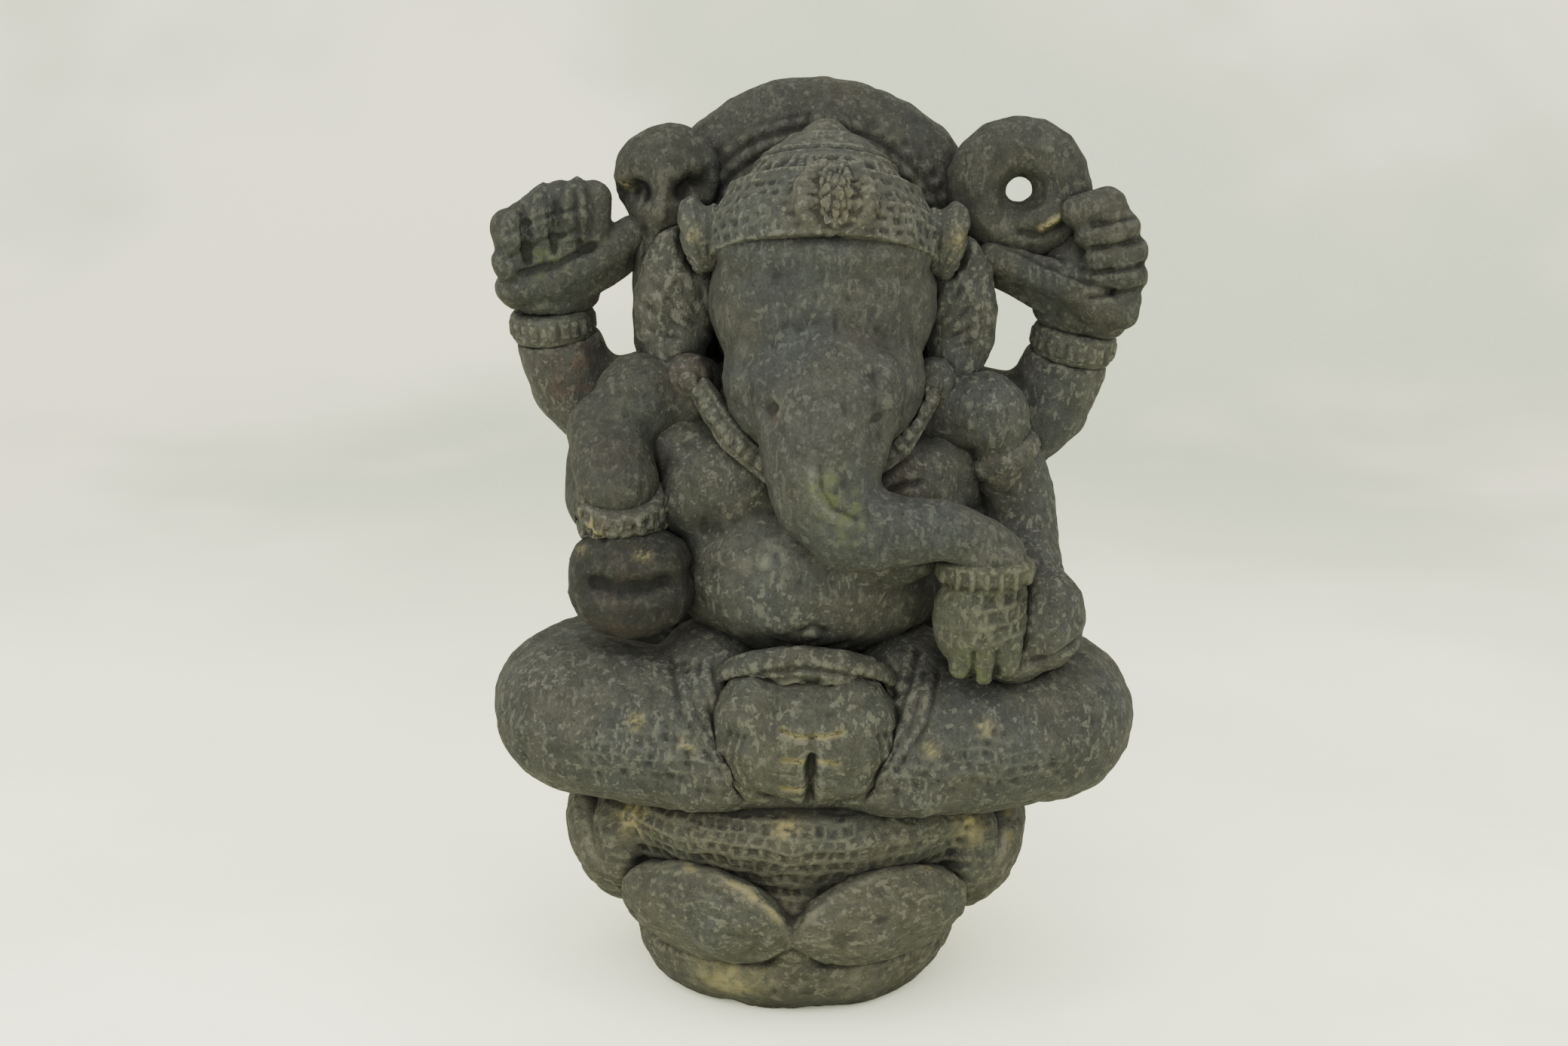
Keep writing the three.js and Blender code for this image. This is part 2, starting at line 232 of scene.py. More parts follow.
    def finish(self, material, relief=1.0):
        """Weathers the surface, hands the mesh back to Blender and sets it in the frame."""
        self.look()
        here = self.start
        rough = 0.30 * grain(here, 13, 1) + 0.26 * grain(here, 6.0, 2) + 0.12 * grain(here, 3.0, 6)
        pits = np.clip(grain(here * (1, 1, 0.6), 3.8, 3) - 0.45, 0, 1)
        self.push(relief * (rough - 0.55 * pits))
        hollow = ((self.spread(self.at, 5) - self.at) * self.out).sum(1)
        fold = ((self.spread(self.at, 30) - self.at) * self.out).sum(1)
        mesh = self.piece.data
        mesh.vertices.foreach_set("co", (self.at * MM).astype(np.float32).ravel())
        # The hollow and fold readings go to the material, which darkens the stone by them as dirt and as
        # painted shade.
        grime_and_shade = {"hollow": hollow / HOLLOW, "fold": fold / FOLD}
        for key, values in [*grime_and_shade.items(), *self.stains.items()]:
            layer = mesh.attributes.new(key, "FLOAT", "POINT")
            layer.data.foreach_set("value", np.clip(values, -1, 1).astype(np.float32))
        mesh.polygons.foreach_set("use_smooth", np.ones(len(mesh.polygons), bool))
        mesh.update()
        mesh.materials.clear()
        mesh.materials.append(material)
        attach(self.piece, "root")
        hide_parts(*self.nodes)


def scatter(cells, seed):
    """A fixed pseudo-random number from 0 to 1 for each whole-number cell."""
    mixed = cells[..., 0] * 73856093 ^ cells[..., 1] * 19349663 ^ cells[..., 2] * 83492791
    mixed = (mixed ^ (seed * 40503)) & 0xFFFFFFFF
    mixed = ((mixed ^ (mixed >> 15)) * 2246822519) & 0xFFFFFFFF
    mixed = ((mixed ^ (mixed >> 13)) * 3266489917) & 0xFFFFFFFF
    return ((mixed ^ (mixed >> 16)) & 0xFFFFFF) / 0xFFFFFF


def grain(points, size, seed):
    """A smooth random field of lumps so many mm across, about -1 to 1."""
    scaled = points / size + seed * 7.31
    cell = np.floor(scaled).astype(np.int64)
    part = scaled - cell
    part = part * part * (3 - 2 * part)
    total = np.zeros(len(points))
    for corner in np.ndindex(2, 2, 2):
        weight = np.prod(np.where(np.array(corner) == 1, part, 1 - part), axis=1)
        total += weight * scatter(cell + np.array(corner), seed)
    return (total - 0.5) * 3.2


def edge(values, low, high):
    """A smooth step from 0 at low to 1 at high."""
    t = np.clip((values - low) / (high - low), 0, 1)
    return t * t * (3 - 2 * t)


class Nodes:
    """Short calls for laying out a material's nodes."""

    def __init__(self, name):
        self.material = bpy.data.materials.new(name)
        self.material.use_nodes = True
        self.tree = self.material.node_tree
        self.tree.nodes.clear()
        self.place = self.add("ShaderNodeTexCoord").outputs["Object"]

    def add(self, kind, **settings):
        node = self.tree.nodes.new(kind)
        for key, value in settings.items():
            setattr(node, key, value)
        return node

    def feed(self, socket, value):
        if isinstance(value, bpy.types.NodeSocket):
            self.tree.links.new(value, socket)
        elif isinstance(value, tuple) and len(value) == 3 and socket.type == "RGBA":
            socket.default_value = (*value, 1)
        else:
            socket.default_value = value

    def sum(self, operation, *values):
        node = self.add("ShaderNodeMath", operation=operation)
        for socket, value in zip(node.inputs, values):
            self.feed(socket, value)
        return node.outputs[0]

    def noise(self, scale, detail, roughness, stretch=None, seed=0.0):
        """Noise with a feature size given in cycles per metre."""
        place = self.place
        if stretch or seed:
            mapping = self.add("ShaderNodeMapping")
            self.feed(mapping.inputs["Vector"], place)
            mapping.inputs["Location"].default_value = (seed, seed * 0.7, -seed)
            if stretch:
                mapping.inputs["Rotation"].default_value = stretch[0]
                mapping.inputs["Scale"].default_value = stretch[1]
            place = mapping.outputs["Vector"]
        node = self.add("ShaderNodeTexNoise")
        self.feed(node.inputs["Vector"], place)
        node.inputs["Scale"].default_value = scale
        node.inputs["Detail"].default_value = detail
        node.inputs["Roughness"].default_value = roughness
        return node.outputs["Fac"]

    def cells(self, scale, seed):
        mapping = self.add("ShaderNodeMapping")
        self.feed(mapping.inputs["Vector"], self.place)
        mapping.inputs["Location"].default_value = (seed, -seed, seed * 0.3)
        node = self.add("ShaderNodeTexVoronoi")
        self.feed(node.inputs["Vector"], mapping.outputs["Vector"])
        node.inputs["Scale"].default_value = scale
        return node.outputs["Distance"]

    def step(self, value, low, high, bottom=0.0, top=1.0):
        node = self.add("ShaderNodeMapRange", interpolation_type="SMOOTHSTEP")
        limits = {"From Min": low, "From Max": high, "To Min": bottom, "To Max": top}
        for key, number in limits.items():
            node.inputs[key].default_value = number
        self.feed(node.inputs["Value"], value)
        return node.outputs["Result"]

    def times(self, first, second):
        return self.sum("MULTIPLY", first, second)

    def shade(self, colour, amount):
        """A colour made lighter or darker by a number."""
        grey = self.add("ShaderNodeCombineColor")
        for key in ("Red", "Green", "Blue"):
            self.feed(grey.inputs[key], amount)
        return self.blend(1.0, colour, grey.outputs["Color"], "MULTIPLY")

    def blend(self, share, first, second, how="MIX"):
        node = self.add("ShaderNodeMix", data_type="RGBA", blend_type=how)
        self.feed(node.inputs["Factor"], share)
        self.feed(node.inputs["A"], first)
        self.feed(node.inputs["B"], second)
        return node.outputs["Result"]

    def layer(self, name):
        return self.add("ShaderNodeAttribute", attribute_name=name).outputs["Fac"]


def stone(name, dark, warm, cool, dusty, dust, level=False):
    """Andesite: a mottled ground, chisel bruises, pale dust on the ridges, dirt and painted shade in the
    hollows and folds, and painted occlusion shade where nearby stone closes over the surface.
    """
    n = Nodes(name)
    hollow, fold = n.layer("hollow"), n.layer("fold")
    pale, ochre, rust, moss = (n.layer(key) for key in ("pale", "ochre", "rust", "moss"))
    ground = n.blend(n.step(n.noise(38, 3, 0.6), 0.40, 0.62), dark, warm)
    ground = n.blend(n.step(n.noise(27, 2, 0.5, seed=3.1), 0.48, 0.66), ground, cool)
    blotch = n.step(n.noise(150, 4, 0.65, seed=1.7), 0.36, 0.66, 0.84, 1.18)
    ground = n.shade(ground, blotch)
    speck = n.step(n.noise(900, 3, 0.7, seed=0.4), 0.35, 0.68, 0.84, 1.20)
    ground = n.shade(ground, speck)
    slanted = ((0.1, 0.2, 0.1), (0.40, 0.40, 1.0)) if level else ((0.3, 0.5, 0.4), (1.0, 1.0, 0.40))
    bruise = n.step(n.noise(430, 2, 0.5, slanted, 2.0), 0.575, 0.63)
    patch = n.step(n.noise(60, 2, 0.5, seed=5.0), 0.42, 0.62)
    bruise = n.times(bruise, n.sum("ADD", n.times(patch, 0.75), 0.2))
    chip = n.step(n.noise(300, 2, 0.5, seed=6.5), 0.64, 0.67)
    bruise = n.sum("MAXIMUM", bruise, chip)
    ridge = n.step(n.sum("SUBTRACT", n.noise(420, 3, 0.6, seed=7.7), n.times(hollow, 0.22)), 0.60, 0.80)
    dusting = n.times(n.sum("MAXIMUM", bruise, ridge), dust)
    dusting = n.sum("MAXIMUM", dusting, n.times(pale, n.step(n.noise(300, 4, 0.7), 0.3, 0.6)))
    colour = n.blend(n.sum("MINIMUM", dusting, 1.0), ground, dusty)
    stained = n.times(rust, n.step(n.noise(120, 3, 0.6, seed=8.0), 0.35, 0.6))
    colour = n.blend(n.times(stained, 0.7), colour, (0.030, 0.019, 0.013))
    growth = n.times(moss, n.step(n.noise(150, 4, 0.65, seed=9.0), 0.40, 0.62))
    colour = n.blend(n.times(growth, 0.75), colour, (0.042, 0.050, 0.020))
    clay = n.times(ochre, n.step(n.noise(260, 3, 0.6, seed=10.0), 0.34, 0.52))
    colour = n.blend(clay, colour, (0.118, 0.105, 0.048))
    # Painted shade: the colour is darkened down to half in hollows and folds. This stands for dirt in the
    # crevices and for the shade that falls there.
    grime_and_shade = n.step(n.sum("ADD", hollow, n.times(fold, 0.7)), 0.12, 1.35, 1.0, 0.50)
    colour = n.shade(colour, grime_and_shade)
    # Painted shade: an ambient occlusion node darkens the colour wherever stone within 18 mm closes over
    # the surface. It stands for dirt and for the shade that falls there.
    near = n.add("ShaderNodeAmbientOcclusion", samples=6)
    near.inputs["Distance"].default_value = 0.018
    dirt_and_occlusion_shade = n.step(near.outputs["AO"], 0.10, 0.80, 0.42, 1.0)
    colour = n.shade(colour, dirt_and_occlusion_shade)
    pores = n.times(n.step(n.cells(620, seed=1.0), 0.02, 0.30), 0.5)
    fine = n.sum("ADD", pores, n.times(n.noise(1500, 4, 0.7), 0.5))
    tooth = n.sum("ADD", fine, n.times(n.noise(330, 4, 0.65, slanted, 2.0), 1.6))
    bump = n.add("ShaderNodeBump")
    bump.inputs["Strength"].default_value = 0.75
    bump.inputs["Distance"].default_value = 0.0009
    n.feed(bump.inputs["Height"], tooth)
    shader = n.add("ShaderNodeBsdfPrincipled")
    n.feed(shader.inputs["Base Color"], colour)
    n.feed(shader.inputs["Roughness"], n.step(n.noise(200, 3, 0.6, seed=4.0), 0.3, 0.7, 0.74, 0.95))
    n.feed(shader.inputs["Normal"], bump.outputs["Normal"])
    shader.inputs["Specular IOR Level"].default_value = 0.14
    output = n.add("ShaderNodeOutputMaterial")
    n.feed(output.inputs["Surface"], shader.outputs["BSDF"])
    return n.material


LOTUS_STONE = stone("lotus_stone", (0.0246, 0.0248, 0.0184), (0.0300, 0.0296, 0.0204),
                    (0.0244, 0.0259, 0.0201), (0.0729, 0.0729, 0.0502), 0.6, level=True)
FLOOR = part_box("base_foot")[0].z / MM
COURSE = 7.5  # mm from one line of chisel marks to the next

bowl_top = [(spot("base_foot", 0.5, 0.20, 0.85), (46, 20, 11)), ((-4, -55, 33), (9, 9, 11))]
foot = Block("base_foot_stone", ["base_foot"], 1.3, 60, bowl_top)
centre = spot("base_foot", 0.5, 0.5, 0)
turn = np.arctan2(foot.start[:, 0] - centre[0], centre[1] - foot.start[:, 1])
wave = foot.start[:, 2] + 1.5 * np.sin(turn * 3) + 0.8 * grain(foot.start, 14, 21)
foot.push(-0.4 * hump((wave % COURSE) - 3.7, 1.3) * edge(foot.start[:, 2], 4, 8))
foot.push(0.8 * grain(foot.start, 26, 22))
foot.dab(spot("base_foot", 0.32, 0.05, 0.61), 13, "ochre", 0.5)
foot.dab(spot("base_foot", 0.30, 0.06, 0.50), 20, "pale", 0.35)
foot.dab(spot("base_foot", 0.68, 0.06, 0.75), 12, "pale", 0.3)
foot.at[:, 2] = np.maximum(foot.at[:, 2], FLOOR)
foot.finish(LOTUS_STONE, 1.0)
foot.at[:, 2] = np.maximum(foot.at[:, 2], FLOOR)
foot.piece.data.vertices.foreach_set("co", (foot.at * MM).astype(np.float32).ravel())


# -- Lotus drum
# The bowl of the seat, andesite like the rest of the block. It is pecked all round with rows
# of small squares for the lotus's stamens, and their raised edges have worn pale.
DRUM = "lotus_drum"
SCALE_WIDTH = 6.4
SCALE_HEIGHT = 5.6


def off_line(values, pitch):
    """Distance from the nearest of many lines a pitch apart."""
    return np.abs(values / pitch - np.round(values / pitch)) * pitch


def pecked(u, v, width, height, points, seed):
    """Distance from the borders of hand-cut squares laid in rows along u, one row above another."""
    row = (v + 1.3 * grain(points, 10, seed)) / height
    column = (u + 1.5 * grain(points, 8, seed + 1)) / width
    column = column + 0.5 * (np.floor(row) % 2) + 0.25 * np.sin(np.floor(row) * 5.1)
    gap = np.minimum(off_line(row, 1) * height, off_line(column, 1) * width)
    return gap + 0.35 * grain(points, 3.6, seed + 2)


centre = spot(DRUM, 0.5, 0.5, 0)
packing = [(spot(DRUM, 0.49, 0.16, 0.25), (26, 14, 18))]
for across in (0.08, 0.92):
    packing.append((spot(DRUM, across, 0.50, 0.52), (17, 34, 26)))
    packing.append((spot(DRUM, across, 0.34, 0.55), (14, 20, 22)))
drum = Block("lotus_drum_stone", [DRUM], 1.05, 50, packing)
here = drum.start
turn = np.arctan2(here[:, 0] - centre[0], centre[1] - here[:, 1])
low, high = corners(DRUM)
sagging = here[:, 2] + 2.4 * np.cos(turn * 2)
border = pecked(turn * high[0], sagging, SCALE_WIDTH, SCALE_HEIGHT, here, 31)
band = edge(here[:, 2], low[2] + 16, low[2] + 24) * (1 - edge(here[:, 2], high[2] - 6, high[2] - 3))
band *= 0.55 + 0.45 * edge(grain(here, 22, 34), -0.6, 0.5)
drum.push(-0.7 * band * edge(border, 0.5, 1.7))
drum.stain("pale", 0.45 * band * (1 - edge(border, 0.4, 1.2)))
for where, radius, colour, strength in (
    ((0.48, 0.03, 0.88), 4.5, "ochre", 1.0),
    ((0.48, 0.10, 0.42), 12, "pale", 0.9),
    ((0.49, 0.10, 0.22), 10, "ochre", 0.6),
    ((0.10, 0.20, 0.80), 7, "ochre", 0.9),
    ((0.93, 0.20, 0.78), 7, "ochre", 0.9),
    ((0.26, 0.06, 0.42), 9, "ochre", 0.6),
):
    drum.dab(spot(DRUM, *where), radius, colour, strength)
drum.finish(LOTUS_STONE, 0.8)


# -- Lotus petals
# Two broad ones in front meeting at a notch, one at each side and two behind. Each is a full
# leaf of andesite cut free of the drum by a chisel line, with a thin raised rim.
def rod(path, radii):
    """Overlapping beads along a path: a finger, roll or rib to be fused into a block."""
    beads = []
    for (start, end), (r0, r1) in zip(zip(path, path[1:]), zip(radii, radii[1:])):
        start, end = np.array(start, float), np.array(end, float)
        count = max(2, int(np.linalg.norm(end - start) / (0.3 * min(r0, r1))))
        for t in np.linspace(0, 1, count):
            radius = r0 + (r1 - r0) * t
            beads.append((start + (end - start) * t, (radius,) * 3))
    return beads


SIDES = (("R", -1), ("L", 1))

for where in ("front", "side", "back"):
    for side, sign in SIDES:
        node = f"petal_{where}_{side}"
        leaf_tip = []
        if where == "front":
            swelling, tip = (0.60, 0.96) if sign < 0 else (0.40, 0.04)
            leaf_tip = rod([spot(node, swelling, 0.30, 0.45), spot(node, tip, 0.22, 0.42)], (13, 7))
        petal = Block(f"{node}_stone", [node], 1.05, 18, leaf_tip)
        low, high = corners(node)
        centre = (low + high) / 2
        away = centre - spot(DRUM, 0.5, 0.5, 0)
        away[2] = 0
        away /= np.linalg.norm(away)
        sideways = np.array([-away[1], away[0], 0])
        offset = petal.start - centre
        span = offset @ sideways
        span = 2 * (span - span.min()) / (span.max() - span.min()) - 1
        tall = offset[:, 2] / ((high[2] - low[2]) / 2)
        outline = np.hypot(span, tall) + 0.03 * grain(petal.start, 12, 41)
        facing = edge(petal.out @ away, -0.1, 0.4)
        petal.push(-0.4 * facing * hump(outline - 0.80, 0.055))
        petal.push(0.6 * facing * hump(outline - 0.90, 0.05) * edge(tall, -0.5, 0.1))
        if where == "side":
            petal.push(-0.9 * facing * hump(outline - 0.52, 0.06))
        strokes = grain(petal.start * (0.35, 0.35, 1.0), 3.6, 42)
        petal.push(-0.45 * facing * np.clip(strokes, 0, 1))
        rim = facing * hump(outline - 0.97, 0.05) * edge(tall, -0.2, 0.4)
        petal.stain("pale", 0.9 * rim)
        flecks = rim * edge(grain(petal.start, 9, 43 + sign), 0.35, 0.9)
        petal.stain("ochre", flecks)
        petal.finish(LOTUS_STONE, 0.75)


# -- Halo
# A thick round slab of the same andesite behind the crown. Its front steps in through
# knobbed mouldings cut with a point; its rim and back are left plain.
HALO_STONE = stone("halo_stone", (0.0151, 0.0155, 0.0123), (0.0185, 0.0184, 0.0138),
                   (0.0161, 0.0173, 0.0149), (0.0445, 0.0450, 0.0343), 0.5)
MOULDING = 6.2  # mm from one ring to the next


def netting(points, size, seed):
    """Distance from the borders of rough cells so many mm across: 0 on a border."""
    scaled = points / size
    base = np.floor(scaled).astype(np.int64)
    first = np.full(len(points), 9.0)
    second = np.full(len(points), 9.0)
    for step in np.ndindex(3, 3, 3):
        cell = base + np.array(step) - 1
        seedpoint = cell + np.stack([scatter(cell, seed + k) for k in range(3)], 1)
        gap = np.linalg.norm(seedpoint - scaled, axis=1)
        second = np.minimum(second, np.maximum(first, gap))
        first = np.minimum(first, gap)
    return (second - first) * size


halo = Block("halo_stone", ["halo"], 1.15, 40)
low, high = corners("halo")
middle = (low + high) / 2
across, up = halo.start[:, 0] - middle[0], halo.start[:, 2] - middle[2]
radius = np.hypot(across, up)
angle = np.arctan2(across, up)
outer = (high[0] - low[0]) / 2
rings = edge(radius, outer - 36, outer - 30) * (1 - edge(radius, outer - 14, outer - 10))
phase = (outer - 11 - radius + 0.7 * grain(halo.start, 14, 51)) / MOULDING
valley = hump(off_line(phase, 1) * MOULDING, 1.5)
knob = np.cos(angle * 46 + np.round(phase - 0.5) * 1.7 + grain(halo.start, 16, 52))
facing = halo.front()
halo.push(-1.6 * rings * facing * valley)
halo.push(0.7 * rings * facing * (1 - valley) * knob)
behind = np.clip(halo.out[:, 1] * 3 - 0.6, 0, 1)
peck = netting(halo.start * (1, 1, 0.7), 9, 53)
halo.push(-0.3 * behind * (1 - edge(peck, 0.4, 3.0)))
halo.finish(HALO_STONE, 1.0)


# -- Crossed legs
# Two round thighs and shins lying level on the seat, in andesite. They are rubbed smooth on
# the knees and pecked with small squares towards the ankles.
SKIN_STONE = stone("skin_stone", (0.0201, 0.0207, 0.0172), (0.0245, 0.0246, 0.0191),
                   (0.0199, 0.0216, 0.0188), (0.0617, 0.0630, 0.0486), 0.62)
CLOTH_STONE = stone("cloth_stone", (0.0221, 0.0228, 0.0178), (0.0270, 0.0271, 0.0198),
                    (0.0219, 0.0238, 0.0195), (0.0656, 0.0670, 0.0486), 0.62)
NET_WIDTH = 5.4
NET_HEIGHT = 5.0

lap = rod([spot("leg_R", 0.82, 0.18, 0.22), spot("leg_L", 0.18, 0.18, 0.22)], (12, 12))
for sign in (-1, 1):
    lap.append(((sign * 38, -28, 140), (22, 27, 18)))
    lap += rod([(sign * 41, -55, 137), (sign * 48, -60, 120), (sign * 44, -62, 100)], (10, 10.5, 10))
legs = Block("crossed_legs", ["leg_R", "leg_L"], 1.2, 75, lap)
here = legs.start
for node, sign in (("leg_R", -1), ("leg_L", 1)):
    inner, outer = (0.85, 0.40) if sign < 0 else (0.15, 0.62)
    start = spot(node, inner, 0.03, 0.45)
    end = spot(node, outer, 0.05, 0.45)
    gap, _ = legs.reach([start, end])
    patch = legs.front() * (1 - edge(gap + 6 * grain(here, 14, 61), 6, 15))
    squares = pecked(here[:, 0] + 0.2 * here[:, 2], here[:, 2], NET_WIDTH, NET_HEIGHT, here, 62)
    legs.push(-0.45 * patch * edge(squares, 0.4, 1.6))
    legs.stain("pale", 0.35 * patch * (1 - edge(squares, 0.2, 0.9)))
    # the hem and ankle folds sweep down beside the feet
    fold = (((0.60, 0.92), (0.64, 0.70), (0.74, 0.44), (0.86, 0.18)) if sign < 0 else
            ((0.36, 0.90), (0.33, 0.68), (0.24, 0.42), (0.13, 0.18)))
    for k in range(4):
        shifted = [(across - sign * 0.045 * k, up) for across, up in fold]
        legs.groove(path_in(node, 0.05, *shifted), 1.3, 0.9)
    for across, high in ((0.5, 0.66), (0.66, 0.52), (0.30, 0.60)):
        across = across if sign < 0 else 1 - across
        legs.dab(spot(node, across, 0.03, high), 3.0, "ochre", 0.7)
legs.groove(path_in("leg_L", 0.05, (0.30, 1.0), (0.27, 0.85), (0.16, 0.70)), 1.5, 1.6)
legs.finish(SKIN_STONE, 1.0)


# -- Feet
# Two soles standing upright together in front, in andesite. A deep cut parts them, and short
# chisel strokes across it show the yellow heart of the stone.
instep = [(spot("foot_R", 1.0, 0.50, 0.50), (33, 19.5, 27))]
feet = Block("folded_feet", ["foot_R", "foot_L"], 0.9, 20, instep)
low = spot("foot_R", 0, 0, 0)
high = spot("foot_L", 1, 0, 1)


def on_soles(*points):
    """A path over both soles: shares across and up the pair."""
    span, rise = high[0] - low[0], high[2] - low[2]
    return [(low[0] + span * across, low[1], low[2] + rise * up) for across, up in points]


feet.groove(on_soles((0.54, 0.62), (0.54, 0.40)), 1.4, 1.0)
feet.groove(on_soles((0.54, 0.46), (0.535, 0.02)), 2.0, 5.5)
feet.groove(on_soles((0.39, 0.66), (0.46, 0.62), (0.60, 0.62), (0.68, 0.65)), 1.1, 1.2, "ochre")
for left, right, up, colour in (
    (0.40, 0.50, 0.44, "ochre"),
    (0.58, 0.67, 0.43, "ochre"),
    (0.38, 0.49, 0.33, "pale"),
    (0.60, 0.66, 0.30, "pale"),
    (0.40, 0.49, 0.20, "ochre"),
    (0.59, 0.64, 0.18, "pale"),
    (0.42, 0.49, 0.09, "pale"),
):
    feet.groove(on_soles((left, up + 0.01), (right, up)), 1.0, 1.1, colour)
for k in range(3):
    for sign in (-1, 1):
        bend = 0.36 + 0.045 * k
        turns = np.linspace(-0.4, 1.3, 7)
        fold = zip(0.54 + sign * bend * np.cos(turns), 0.45 - 0.42 * np.sin(turns))
        feet.groove(on_soles(*fold), 1.1, 0.9)
feet.finish(CLOTH_STONE, 0.8)


# -- Sash
# The front of the waist cloth, carved in the same andesite: an arched roll above the feet,
# notched along its upper edge, with a thin wavy hem below it.
NOTCH = 5.5  # mm from one notch to the next

sash = Block("waist_sash", ["sash_front"], 0.95, 12)
arch = path_in("sash_front", 0.1, (0.06, 0.28), (0.2, 0.52), (0.35, 0.70), (0.5, 0.78),
               (0.65, 0.70), (0.8, 0.52), (0.94, 0.28))
sash.groove(arch, 1.2, 1.5)
gap, along = sash.reach(arch)
notch = off_line(along, NOTCH)
sash.push(-0.45 * sash.front() * hump(notch, 0.9) * (1 - edge(gap, 4, 7)))
hem = path_in("sash_front", 0.05, (0.30, 0.42), (0.40, 0.56), (0.47, 0.60), (0.53, 0.46),
              (0.60, 0.60), (0.68, 0.56), (0.76, 0.42))
sash.groove(hem, 1.0, -1.3, "pale")
sash.finish(CLOTH_STONE, 0.8)


# -- Belly, hips and chest
# The great round belly and the breast above it, in andesite rubbed smooth. A small navel and
# the fold over the lap are cut with a round-nosed chisel.
webs = [
    (spot("shoulder_R", 0.5, 0.8, 0.0), (21, 13, 26)),
    (spot("shoulder_L", 0.5, 0.8, 0.0), (21, 13, 26)),
    (spot("arm_L", 0.30, 0.75, 0.35), (17, 14, 26)),
    (spot("arm_R", 0.70, 0.75, 0.15), (16, 13, 20)),
    ((-53, -6, 192), (15, 12, 30)),
    ((-55, -13, 224), (15, 13, 20)),
    ((-49, -25, 205), (14, 12, 14)),
    ((54, -13, 218), (15, 13, 22)),
    ((46, -22, 200), (14, 14, 18)),
    ((28, -48, 193), (26, 14, 13)),
    ((0, -8, 196), (52, 34, 24)),
]
torso = Block("belly_and_chest", ["belly", "hips", "chest"], 1.25, 90, webs)
navel = spot("belly", 0.52, 0.03, 0.34)
torso.groove([navel + [-4.5, 0, -0.5], navel + [0, 0, 1.8], navel + [4.5, 0, -0.5]], 1.3, 1.4)
torso.groove([navel + [0, 0, -2], navel + [0.5, 0, -2]], 2.6, -1.2)
torso.groove([navel + [-14, 0, -7], navel + [0, 0, -11], navel + [14, 0, -7]], 1.6, 0.9)
torso.dab(spot("belly", 0.38, 0.06, 0.76), 11, "pale", 0.7)
torso.dab(spot("belly", 0.70, 0.06, 0.54), 15, "rust", 0.2)
torso.dab(spot("chest", 0.78, 0.05, 0.5), 9, "rust", 0.8)
slit = spot("chest", 0.80, 0.0, 0.49)
torso.groove([slit + [-5, 0, -1], slit + [0, 0, 1], slit + [6, 0, 1.5]], 1.5, 1.8)
torso.groove([(-66, -30, 219), (-64, -30, 211)], 4.5, 4.0, "rust")
torso.finish(SKIN_STONE, 1.0)


# -- Head and trunk
# A high domed forehead runs straight down into the trunk, which reaches across to the bowl.
# Smoothed andesite; the eyes are small drilled hollows.
HEAD_STONE = stone("head_stone", (0.0180, 0.0187, 0.0159), (0.0220, 0.0223, 0.0177),
                   (0.0178, 0.0196, 0.0175), (0.0545, 0.0562, 0.0440), 0.44)
trunk_low, trunk_high = corners("trunk")
cheeks = [
    (spot("trunk", 0.16, 0.42, 0.62), (13, 14, 22), (0, -14, 0)),
    (spot("trunk", 0.43, 0.42, 0.64), (13, 14, 24), (0, 14, 0)),
    ((3, -15, 306), (44, 38, 18)),
]
head = Block("head_and_trunk", ["head", "trunk"], 1.15, 60, cheeks)
eye = spot("trunk", 0.09, 0.25, 0.67)
head.groove([eye + [-1.2, 0, -1], eye + [1.2, 0, 1]], 2.7, 2.4)
head.groove([eye + [3.2, 0, -1.5], eye + [3.6, 0, 2], eye + [1.5, 0, 4.3]], 0.9, -0.9, "pale")
other = spot("trunk", 0.46, 0.30, 0.66)
head.groove([other + [-1, 0, 14], other + [1, 0, 0], other + [2, 0, -8]], 2.6, 1.3)
head.groove([other + [-1.5, 0, -2], other + [1.5, 0, -1]], 1.9, 1.2)
bend = path_in("trunk", 0.05, (0.24, 0.48), (0.25, 0.40), (0.29, 0.33), (0.37, 0.29))
head.groove(bend, 1.6, -0.9, "pale")
head.groove([point + [3.0, 0, 1.5] for point in bend], 1.8, 0.9)
for k in range(7):
    ring = trunk_low + (trunk_high - trunk_low) * [0.42 + 0.06 * k, 0.1, 0.27]
    head.groove([ring + [1.5, 0, 9], ring + [2.5, 0, 0], ring + [0, 0, -10]], 1.1, 0.45)
for k in range(4):
    brow = spot("head", 0.5, 0.1, 0.78 - 0.1 * k)
    head.groove([brow + [-16 + 2 * k, 0, -1], brow + [0, 0, 1.5], brow + [15 - 2 * k, 0, -1]], 1.8, 0.35)
head.dab(spot("trunk", 0.31, 0.02, 0.40), 8, "moss", 1.0)
head.dab(spot("trunk", 0.36, 0.02, 0.31), 8, "moss", 0.8)
head.dab(eye + [2, 0, -3], 4, "rust", 0.8)
head.dab(spot("head", 0.66, 0.1, 0.6), 13, "rust", 0.2)
head.finish(HEAD_STONE, 0.9)


